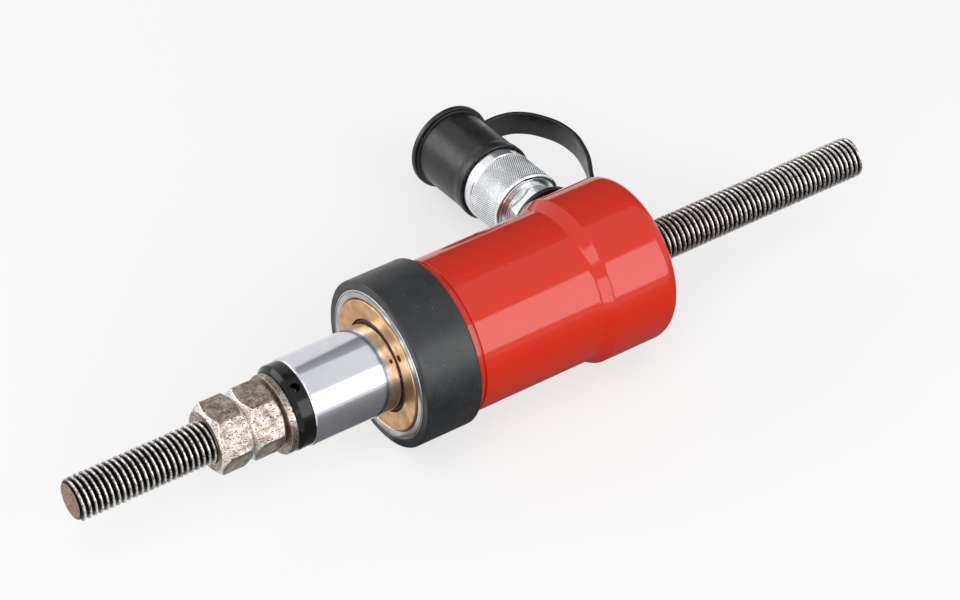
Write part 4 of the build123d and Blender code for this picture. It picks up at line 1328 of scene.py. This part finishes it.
@dataclass(frozen=True)
class Plunger:
    """The chromed hollow plunger and the black saddle in its mouth.

    Attributes:
        head: Where the plunger's head starts and ends.
        head_step: The length and radius of the narrower rear of the head.
        head_lap: How far the rod runs into the head.
        mouth: The radius and depth of the saddle's seat in the rod.
    """

    spindle: Spindle
    plunger: Reach
    saddle: Reach
    head: tuple[float, float] = (51.5, 73.5)
    head_radius: float = 26.9
    head_step: tuple[float, float] = (6.0, 24.5)
    head_lap: float = 0.1
    rod_radius: float = 18.6
    mouth: tuple[float, float] = (14.0, 14.4)
    shank_gap: float = 0.1
    saddle_radius: float = 18.0
    saddle_chamfer: float = 1.7
    saddle_countersink: float = 0.8
    tommy_radius: float = 2.0
    tommy_setback: float = 3.2
    tommy_depth: float = 5.0
    tommy_angles: tuple[float, float] = (67.0, 247.0)

    def build(self, shop: Shop) -> None:
        """Makes the plunger's rod and head, and the saddle."""
        start, shoulder = self.head
        mouth, depth = self.mouth
        lap, front, bore = shoulder - self.head_lap, self.plunger.end, self.plunger.inner
        shop.turn("plunger_rod", self.spindle, [
            (lap, bore, 0), (lap, self.rod_radius, 0), (front, self.rod_radius, 0.9),
            (front, mouth, 0), (front - depth, mouth, 0), (front - depth, bore, 0),
        ], Body.PLUNGER, Slot.HARD_CHROME, "plunger")
        length, radius = self.head_step
        shop.turn("plunger_head", self.spindle, [
            (start, bore, 0.4), (start, radius, 0.5), (start + length, radius, 0),
            (start + length, self.head_radius, 0.4), (shoulder, self.head_radius, 0.4), (shoulder, bore, 0),
        ], Body.PLUNGER, Slot.TUBE_STEEL)
        end, bore, shank = self.saddle.end, self.saddle.inner, mouth - self.shank_gap
        rim, chamfer, countersink = self.saddle_radius, self.saddle_chamfer, self.saddle_countersink
        saddle = turned("saddle_piece", self.spindle, [
            (self.saddle.start, bore, 0), (self.saddle.start, shank, 0.5), (front + SKIN, shank, 0),
            (front + SKIN, rim, 0.3), (end - chamfer, rim, 0.4), (end, rim - chamfer, 0.4),
            (end, bore + countersink, 0.1), (end - countersink, bore, 0.1),
        ])
        drilled(saddle, [self._tommy_hole(front, math.radians(angle)) for angle in self.tommy_angles])
        shop.mount(saddle, self.spindle, Body.PLUNGER, Slot.BLACK_OXIDE, "saddle")

    def _tommy_hole(self, front: float, angle: float) -> bpy.types.Object:
        """A plug that stands where a tommy bar's hole goes in the saddle's rim."""
        outward = (0.0, math.cos(angle), math.sin(angle))
        side = Spindle((front + self.tommy_setback, 0, 0), outward, (1.0, 0.0, 0.0))
        return plug(side, self.saddle_radius - self.tommy_depth, self.saddle_radius, self.tommy_radius)


@dataclass(frozen=True)
class PullRod:
    """The threaded pull rod with its washer and two nuts.

    Attributes:
        hung: The spindle of the washer, which hangs on the rod.
        threads: Where the rear thread ends and the front thread starts.
        core: The radius of the bar under the threads.
        runout: How far a thread runs over the shank's end.
        corner: The angle of the nuts' first corner in degrees.
    """

    spindle: Spindle
    hung: Spindle
    rod: Reach
    washer: Reach
    nuts: tuple[Reach, Reach]
    threads: tuple[float, float] = (20.0, 150.0)
    radius: float = 9.0
    pitch: float = 2.5
    depth: float = 1.45
    core: float = 7.0
    shank_radius: float = 8.2
    runout: float = 1.0
    runout_chamfer: float = 0.5
    front_chamfer: float = 1.5
    rear_chamfer: float = 0.8
    flats: float = 27.0
    face: float = 12.5
    slope: float = 40.0
    corner: float = 6.4
    countersink: float = 0.8

    def build(self, shop: Shop) -> None:
        """Makes the rod, the washer and the nuts."""
        self._rod(shop)
        plate = self.washer
        shop.turn("washer_plate", self.hung, [
            (plate.start, plate.inner, 0.1), (plate.start, plate.outer, 0.15),
            (plate.end, plate.outer, 0.5), (plate.end, plate.inner, 0.2),
        ], Body.WASHER, Slot.RAW_STEEL, "washer")
        first_flat = self.corner + SIDE_ANGLE / 2
        for name, node, reach in zip(("nut_near", "nut_far"), ("nut_inner", "nut_outer"), self.nuts):
            shape = Hexagon(self.flats, self.face, self.slope, first_flat, reach.inner, self.countersink)
            nut = shape.build(name, self.spindle, reach.start, reach.end)
            shop.mount(nut, self.spindle, Body.NUTS, Slot.RAW_STEEL, node)

    def _rod(self, shop: Shop) -> None:
        """Makes the core with its plain shank, and both threads round it."""
        low, high = self.threads
        shank_start, shank_end, shank = low - self.runout, high + self.runout, self.shank_radius
        core = turned("rod_core", self.spindle, [
            (self.rod.start, 0, 0), (self.rod.start, self.core, 0), (shank_start, self.core, 0),
            (shank_start, shank, 0.2), (shank_end, shank, 0.2), (shank_end, self.core, 0),
            (self.rod.end, self.core, 0), (self.rod.end, 0, 0),
        ], around=ROD_AROUND)
        rubbed(core, self.spindle, flat=-1)
        shop.mount(core, self.spindle, Body.ROD, Slot.ROD_STEEL, "pull_rod")
        rule = ThreadRule()
        group = rule.group()
        front = (high, self.rod.end - SKIN, self.runout_chamfer, self.front_chamfer)
        rear = (self.rod.start + SKIN, low, self.rear_chamfer, self.runout_chamfer)
        for name, (start, end, *chamfers) in (("rod_thread_front", front), ("rod_thread_rear", rear)):
            thread = rule.run(name, group, self.spindle, shop.materials[Slot.ROD_STEEL], {
                "Start": start, "End": end, "Radius": self.radius, "Inner": self.core - OVERLAP,
                "Pitch": self.pitch, "Depth": self.depth, "Start Chamfer": chamfers[0],
                "End Chamfer": chamfers[1], "Rows": rule.rows(start, end, self.pitch),
            })
            shop.mount(thread, self.spindle, Body.ROD, Slot.ROD_STEEL)


@dataclass(frozen=True)
class Coupler:
    """The nipple, the coupler body and the knurled collar on the port's axis.

    Attributes:
        neck: The radius and length of the nipple's neck.
        socket: The radius and depth of the coupler's mouth.
        valve: The radii of the valve's seat and of the chamber behind it.
        valve_depths: How far below the mouth's floor the seat ends and the chamber starts.
        collar_thread: The radius and length of the collar's inner thread.
        collar_cavity: The radius of the space behind the thread, and the length of the lip behind that.
        collar_dish: The radius and depth of the dish in the collar's back.
        groove: The groove's distance from the collar's back, its width and its depth.
        knurl_edges: The plain margins before and after the knurl.
        knurl_base: How deep the collar is turned down under the knurled sleeve.
        knurl_stand: How far the knurl stands over the plain collar.
        knurl_wall: How far the knurled sleeve reaches under the turned-down base.
    """

    spindle: Spindle
    coupler: Reach
    collar: Reach
    boss_height: float = 38.0
    neck: tuple[float, float] = (11.0, 3.0)
    hexagon: Hexagon = Hexagon(flats=22.0, face=11.4, slope=30.0, turn=0.0, bore=3.0, countersink=0.3)
    hex_length: float = 9.5
    socket: tuple[float, float] = (8.0, 13.0)
    valve: tuple[float, float] = (3.5, 5.0)
    valve_depths: tuple[float, float] = (3.0, 5.0)
    collar_thread: tuple[float, float] = (14.0, 14.0)
    collar_cavity: tuple[float, float] = (13.5, 5.0)
    collar_dish: tuple[float, float] = (14.6, 1.8)
    groove: tuple[float, float, float] = (19.0, 1.0, 0.45)
    knurl_pitch: float = 1.15
    knurl_depth: float = 0.36
    knurl_edges: tuple[float, float] = (1.5, 0.4)
    knurl_base: float = 1.2
    knurl_stand: float = 0.05
    knurl_wall: float = 0.2

    def build(self, shop: Shop) -> None:
        """Makes the nipple, the coupler body and the collar."""
        neck_radius, neck_length = self.neck
        bottom = self.boss_height + neck_length
        neck = turned("nipple_neck", self.spindle, [
            (self.boss_height, 0, 0), (self.boss_height, neck_radius, 0.2),
            (bottom + OVERLAP, neck_radius, 0), (bottom + OVERLAP, 0, 0),
        ])
        nut = self.hexagon.build("nipple_hex", self.spindle, bottom, bottom + self.hex_length)
        nipple = joined("nipple", [neck, nut])
        shop.mount(nipple, self.spindle, Body.CYLINDER, Slot.ZINC_PLATE, "coupler_nipple")
        start, end, radius = self.coupler.start, self.coupler.end, self.coupler.outer
        mouth, depth = self.socket
        floor = end - depth
        seat, chamber = self.valve
        seat_end, chamber_start = (floor - length for length in self.valve_depths)
        shop.turn("coupler_barrel", self.spindle, [
            (start, chamber, 0), (start, radius, 0.4), (end, radius, 0.6), (end, mouth, 0.3),
            (floor, mouth, 0.3), (floor, seat, 0.2), (seat_end, seat, 0), (chamber_start, chamber, 0),
        ], Body.CYLINDER, Slot.ZINC_PLATE, "coupler_body")
        self._collar(shop)

    def _collar(self, shop: Shop) -> None:
        """Makes the collar in its plain part and its knurled sleeve."""
        start, end, radius, bore = self.collar.start, self.collar.end, self.collar.outer, self.collar.inner
        dish, dish_depth = self.collar_dish
        from_back, width, depth = self.groove
        cavity, lip_length = self.collar_cavity
        thread, thread_length = self.collar_thread
        before, after = self.knurl_edges
        groove, base, lip = start + from_back, radius - self.knurl_base, start + lip_length
        knurl_start, knurl_end, thread_end = start + before, groove - after, end - thread_length
        shop.turn("collar", self.spindle, [
            (start + dish_depth, bore, 0), (start, dish, 0.3), (start, radius, 1.2),
            (knurl_start, radius, 0), (knurl_start, base, 0), (knurl_end, base, 0), (knurl_end, radius, 0),
            (groove, radius, 0.1), (groove, radius - depth, 0.1),
            (groove + width, radius - depth, 0.1), (groove + width, radius, 0.2),
            (end, radius, 0.6), (end, thread, 0.3), (thread_end, thread, 0), (thread_end, cavity, 0),
            (lip, cavity, 0), (lip, bore, 0),
        ], Body.COLLAR, Slot.ZINC_PLATE, "coupler_collar")
        rule = KnurlRule()
        knurl = rule.run("collar_knurl", rule.group(), self.spindle, shop.materials[Slot.ZINC_PLATE], {
            "Start": knurl_start, "End": knurl_end, "Radius": radius + self.knurl_stand,
            "Inner": base - self.knurl_wall, "Pitch": self.knurl_pitch, "Depth": self.knurl_depth,
            "Rows": rule.rows(knurl_start, knurl_end, self.knurl_pitch),
        })
        # Dark knurl grooves: painted shade, with dirt
        darkened_in_grooves(knurl, self.spindle, radius, self.knurl_depth)
        shop.mount(knurl, self.spindle, Body.COLLAR, Slot.ZINC_PLATE)


@dataclass(frozen=True)
class DustCap:
    """The rubber cap over the collar and the strap that holds it.

    Attributes:
        lip: The wall and length of the cap's lip.
        ring: The inner and outer radius of the strap's ring.
        ring_height: Where the ring starts and ends along the port's axis.
        strap_hold: How far along the port's axis from the strap's ends its bend would start; the script works
            these places out and does not use them.
        route: The strap's points from its ring to the cap, as (distance from the port's axis, height).
    """

    spindle: Spindle
    cap: Reach
    bore: float = 16.8
    wall: float = 0.6
    lip: tuple[float, float] = (1.1, 3.0)
    end_thickness: float = 5.0
    flange_thickness: float = 2.5
    ring: tuple[float, float] = (11.2, 16.8)
    ring_height: tuple[float, float] = (38.4, 40.6)
    strap_width: float = 11.0
    strap_thickness: float = 2.0
    strap_edge: float = 0.6
    strap_hold: float = 4.0
    route: tuple[tuple[float, float], ...] = (
        (14.8, 39.5), (24.0, 40.9), (34.2, 53.95), (42.0, 69.8), (44.9, 85.0), (41.9, 98.7), (34.4, 108.9),
        (27.4, 111.75), (18.0, 111.75),
    )

    def build(self, shop: Shop) -> None:
        """Makes the cap and its strap."""
        lip_wall, lip_length = self.lip
        start, end, radius = self.cap.start, self.cap.end, self.cap.outer
        wall, lip = self.bore + self.wall, self.bore + lip_wall
        flange, inside = end - self.flange_thickness, end - self.end_thickness
        shop.turn("cap", self.spindle, [
            (start, self.bore, 0.3), (start, lip, 0.45), (start + lip_length, lip, 1.5),
            (start + 2 * lip_length, wall, 2.0), (flange, wall, 0.5), (flange, radius, 0.5),
            (end, radius, 0.7), (end, 0, 0), (inside, 0, 0), (inside, self.bore, 1.0),
        ], Body.CAP, Slot.BLACK_RUBBER, "dust_cap")
        low, high = self.ring_height
        inner, outer = self.ring
        ring = turned("strap_ring", self.spindle, [
            (low, inner, 0.3), (low, outer, 0.4), (high, outer, 0.4), (high, inner, 0.3),
        ])
        strap = joined("strap", [self._band(shop), ring])
        shop.dress(strap, self.spindle, Slot.BLACK_RUBBER)
        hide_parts("cap_strap")
        bend_start, bend_end = self.route[1][1] + self.strap_hold, self.route[-1][1] - self.strap_hold
        ends = self.spindle.place(np.array([[bend_start, 0, 0], [bend_end, 0, 0]]))
        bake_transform(strap)

    def _band(self, shop: Shop) -> bpy.types.Object:
        """Sweeps the strap along its route, on the side where the spindle's across points away."""
        path = bpy.data.curves.new("strap_route", "CURVE")
        path.dimensions = "3D"
        path.resolution_u = ROUTE_STEPS
        spline = path.splines.new("BEZIER")
        spline.bezier_points.add(len(self.route) - 1)
        for point, (out, height) in zip(spline.bezier_points, self.route):
            point.co = (height * MM, -out * MM, 0)
            point.handle_left_type = point.handle_right_type = "AUTO"
        rule = StrapRule()
        return rule.run("strap_band", rule.group(), self.spindle, shop.materials[Slot.BLACK_RUBBER], {
            "Width": self.strap_width, "Thickness": self.strap_thickness, "Edge": self.strap_edge,
        }, source=path)


@dataclass(frozen=True)
class Softbox:
    """A rectangular lamp that faces the spindle from a direction round it.

    Attributes:
        angle: Its direction in degrees from Y towards Z.
        lean: How far its direction leans along X.
        distance: How far off it hangs, in metres.
        size: Its length and height in metres.
        radiance: Its brightness, where 1 is white.
        mirrored: Whether glossy surfaces show it.
    """

    name: str
    angle: float
    lean: float
    distance: float
    size: tuple[float, float]
    radiance: float
    mirrored: bool

    def hang(self, middle: Vector) -> None:
        """Hangs the lamp about the object's middle."""
        turn = math.radians(self.angle)
        lamp = bpy.data.lights.new(self.name, "AREA")
        lamp.shape = "RECTANGLE"
        lamp.size, lamp.size_y = self.size
        lamp.energy = self.radiance * math.pi * self.size[0] * self.size[1]
        thing = linked(self.name, lamp)
        outward = Vector((self.lean, math.cos(turn), math.sin(turn))).normalized()
        thing.location = middle + outward * self.distance
        thing.rotation_mode = "QUATERNION"
        thing.rotation_quaternion = outward.to_track_quat("Z", "Y")
        thing.visible_glossy = self.mirrored


@dataclass(frozen=True)
class DarkReflectionSheet:
    """A graded sheet, as a photographer sets beside a piece, that only glossy rays see: a painted dark
    reflection, through which the camera, diffuse light and shadows pass. It keeps the sides of the piece
    deep.

    Attributes:
        name: Its name.
        corner: One corner, with its height over the floor.
        width: The way along its near edge.
        height: The way from there to its far edge.
        near: Its colour along its near edge.
        far: Its colour along its far edge.
    """

    name: str
    corner: tuple[float, float, float]
    width: tuple[float, float, float]
    height: tuple[float, float, float]
    near: str
    far: str = "#d8d8da"

    def stand(self, floor_height: float) -> None:
        """Sets the painted-reflection sheet up over a floor at the given height."""
        first = Vector(self.corner) + Vector((0, 0, floor_height))
        width, height = Vector(self.width), Vector(self.height)
        corners = [point * MM for point in (first, first + width, first + width + height, first + height)]
        mesh = bpy.data.meshes.new(self.name)
        mesh.from_pydata(corners, [], [(0, 1, 2, 3)])
        paper = bpy.data.materials.new(self.name)
        tree = empty_tree(paper)
        place = tree.add("ShaderNodeTexCoord").node.outputs["Object"]
        way = height / height.length_squared
        offset = tree.add("ShaderNodeVectorMath", {0: place, 1: first * MM}, operation="SUBTRACT")
        climb = tree.add("ShaderNodeVectorMath", {0: offset, 1: way / MM}, operation="DOT_PRODUCT")
        tones = {"Factor": climb.node.outputs["Value"], "A": self.near, "B": self.far}
        grade = tree.add("ShaderNodeMix", tones, data_type="RGBA")
        matt = tree.add("ShaderNodeBsdfDiffuse", {"Color": grade})
        tree.add("ShaderNodeOutputMaterial", {"Surface": matt})
        mesh.materials.append(paper)
        reflection_sheet = linked(self.name, mesh)
        # Only glossy rays see the sheet: a painted dark reflection
        reflection_sheet.visible_camera = reflection_sheet.visible_diffuse = reflection_sheet.visible_shadow = reflection_sheet.visible_transmission = False
        reflection_sheet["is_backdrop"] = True


@dataclass(frozen=True)
class Studio:
    """The camera of the photograph, a plain floor and soft light.

    Attributes:
        right: The camera's way to the right.
        up: Its way up.
        back: The way from the object to it.
        aim: The middle of the object.
        offset: How far the camera stands from there along its own three ways.
        lens: Its focal length.
        clip_end: How far it sees, in metres.
        floor_size: The floor's side, in metres.
        pale: The colour of the backdrop and of the floor's even part.
        floor_grey: How much light the floor throws back.
        floor_lift: How much it shows to the camera, gloss and glass.
        floor_even: The share of what it shows that no shadow darkens.
        dim: The world's strength as a light.
        reflection_sheets: The sheets that only gloss shows, painted dark reflections.
        lamps: The lamps.
    """

    right: tuple[float, float, float] = (-0.8242, 0.5641, 0.0496)
    up: tuple[float, float, float] = (-0.3616, -0.5918, 0.7204)
    back: tuple[float, float, float] = (0.4357, 0.5758, 0.6918)
    aim: tuple[float, float, float] = (125.15, 0.0, 0.0)
    offset: tuple[float, float, float] = (40.91, 26.03, 1275.55)
    lens: float = 120.0
    clip_end: float = 50.0
    floor_size: float = 20.0
    pale: str = "#f6f6f6"
    floor_grey: float = 0.35
    floor_lift: float = 1.06
    floor_even: float = 0.7
    dim: float = 0.45
    # Painted dark reflections: sheets that only glossy rays see
    reflection_sheets: tuple[DarkReflectionSheet, ...] = (
        DarkReflectionSheet("low_reflection_sheet", (-1200, 9, 0.05), width=(1415, 0, 0), height=(0, 900, 0), near="#7e7e80"),
        DarkReflectionSheet("back_reflection_sheet", (-1600, -420, 1), width=(1510, 0, 0), height=(0, 0, 1300), near="#606062"),
    )
    lamps: tuple[Softbox, ...] = (
        Softbox("side", angle=27, lean=-0.48, distance=1.2, size=(0.8, 0.86), radiance=2.7, mirrored=True),
        Softbox("front", angle=22, lean=0.85, distance=1.3, size=(1.1, 0.7), radiance=2.4, mirrored=True),
        Softbox("rear", angle=155, lean=0.72, distance=1.3, size=(0.9, 0.7), radiance=2.6, mirrored=True),
        Softbox("edge", angle=67, lean=0.62, distance=1.5, size=(0.4, 1.5), radiance=2.2, mirrored=True),
        Softbox("over", angle=75, lean=0.1, distance=2.0, size=(2.4, 2.0), radiance=0.5, mirrored=False),
    )

    def build(self, floor_height: float) -> None:
        """Makes the camera, the world, the floor and the lamps."""
        axes = [Vector(self.right), Vector(self.up), Vector(self.back)]
        eye = Vector(self.aim) + sum((axis * size for axis, size in zip(axes, self.offset)), Vector())
        camera = linked("camera", bpy.data.cameras.new("camera"))
        camera.data.lens = self.lens
        camera.data.clip_end = self.clip_end
        camera.matrix_world = Matrix.Translation(eye * MM) @ Matrix(axes).transposed().to_4x4()
        scene = bpy.context.scene
        scene.camera = camera
        scene.view_settings.view_transform = "Standard"
        scene.world = self._world()
        bpy.ops.mesh.primitive_plane_add(size=self.floor_size, location=(0, 0, floor_height * MM))
        floor = bpy.context.object
        floor.name = "floor"
        floor.data.materials.append(self._floor_paper())
        floor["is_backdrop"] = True
        for reflection_sheet in self.reflection_sheets:
            reflection_sheet.stand(floor_height)
        for lamp in self.lamps:
            lamp.hang(Vector(self.aim) * MM)

    def _shown(self, tree: Tree) -> Socket:
        """1 where the camera, gloss or glass looks, and 0 for scattered light."""
        path = tree.add("ShaderNodeLightPath").node.outputs
        seen, gloss, glass = (path[f"Is {kind} Ray"] for kind in ("Camera", "Glossy", "Transmission"))
        first = tree.add("ShaderNodeMath", {0: seen, 1: gloss}, operation="MAXIMUM")
        return tree.add("ShaderNodeMath", {0: first, 1: glass}, operation="MAXIMUM")

    def _world(self) -> bpy.types.World:
        """A pale backdrop to the eye and in gloss, at a plain level of light."""
        world = bpy.data.worlds.new("world")
        tree = empty_tree(world)
        strength = tree.add("ShaderNodeMapRange", {0: self._shown(tree), 3: self.dim, 4: 1.0})
        light = tree.add("ShaderNodeBackground", {"Color": self.pale, "Strength": strength})
        tree.add("ShaderNodeOutputWorld", {"Surface": light})
        return world

    def _floor_paper(self) -> bpy.types.Material:
        """Matt paper, pale to the eye and in gloss, that throws back less light than it shows."""
        paper = bpy.data.materials.new("matt_paper")
        tree = empty_tree(paper)
        shown = self._shown(tree)
        level = tree.add("ShaderNodeMapRange", {0: shown, 3: self.floor_grey, 4: self.floor_lift})
        colour = tree.add("ShaderNodeCombineColor", {0: level, 1: level, 2: level})
        matt = tree.add("ShaderNodeBsdfDiffuse", {"Color": colour})
        even = tree.add("ShaderNodeMath", {0: shown, 1: self.floor_even}, operation="MULTIPLY")
        plain = tree.add("ShaderNodeEmission", {"Color": self.pale, "Strength": 1.0})
        mixed = tree.add("ShaderNodeMixShader", {0: even, 1: matt, 2: plain})
        tree.add("ShaderNodeOutputMaterial", {"Surface": mixed})
        return paper


def port_spindle(frame: dict) -> Spindle:
    """The port's axis, as the collar's joint gives it."""
    joint = next(j for j in frame["joints"] if j["name"] == "collar_spin")
    origin = tuple(value / MM for value in joint["pos_m"])
    return Spindle(origin, tuple(joint["axis"]), (1.0, 0.0, 0.0))


def floor_under(frame: dict) -> float:
    """The height in millimetres of the lowest point of the CAD nodes, where the floor lies."""
    return min(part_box(node)[0].z for node in frame["nodes"]) / MM


def main() -> None:
    """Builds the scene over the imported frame."""
    logging.basicConfig(level=logging.INFO, format="%(message)s")
    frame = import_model()
    shop = Shop({slot: finish.material() for slot, finish in FINISHES.items()})
    axis = Spindle((0.0, 0.0, 0.0), (1.0, 0.0, 0.0), (0.0, 1.0, 0.0))
    port = port_spindle(frame)
    low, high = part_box("washer")
    hung = Spindle((0.0, (low.y + high.y) / 2 / MM, (low.z + high.z) / 2 / MM), axis.along, axis.across)
    for part in frame["record"]["subparts"]:
        node = part["node"]
        spindle = port if node.startswith(PORT_NODES) else axis
        shop.finish(frame["nodes"][node], spindle, Slot(part["material_slot"]))
    assemblies = (
        CylinderBody(axis, port, axis.reach(frame, "cylinder_body"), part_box("cylinder_body")[1].z / MM),
        GuideBush(axis, *(axis.reach(frame, node) for node in ("guide_bush", "wiper_ring", "thread_guard"))),
        Plunger(axis, axis.reach(frame, "plunger"), axis.reach(frame, "saddle")),
        PullRod(
            axis, hung, axis.reach(frame, "pull_rod"), hung.reach(frame, "washer"),
            (axis.reach(frame, "nut_inner"), axis.reach(frame, "nut_outer")),
        ),
        Coupler(port, port.reach(frame, "coupler_body"), port.reach(frame, "coupler_collar")),
        DustCap(port, port.reach(frame, "dust_cap")),
    )
    for assembly in assemblies:
        assembly.build(shop)
        log.info("built %s", type(assembly).__name__)
    Studio().build(floor_under(frame))
    low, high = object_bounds()


if __name__ == "__main__":
    main()
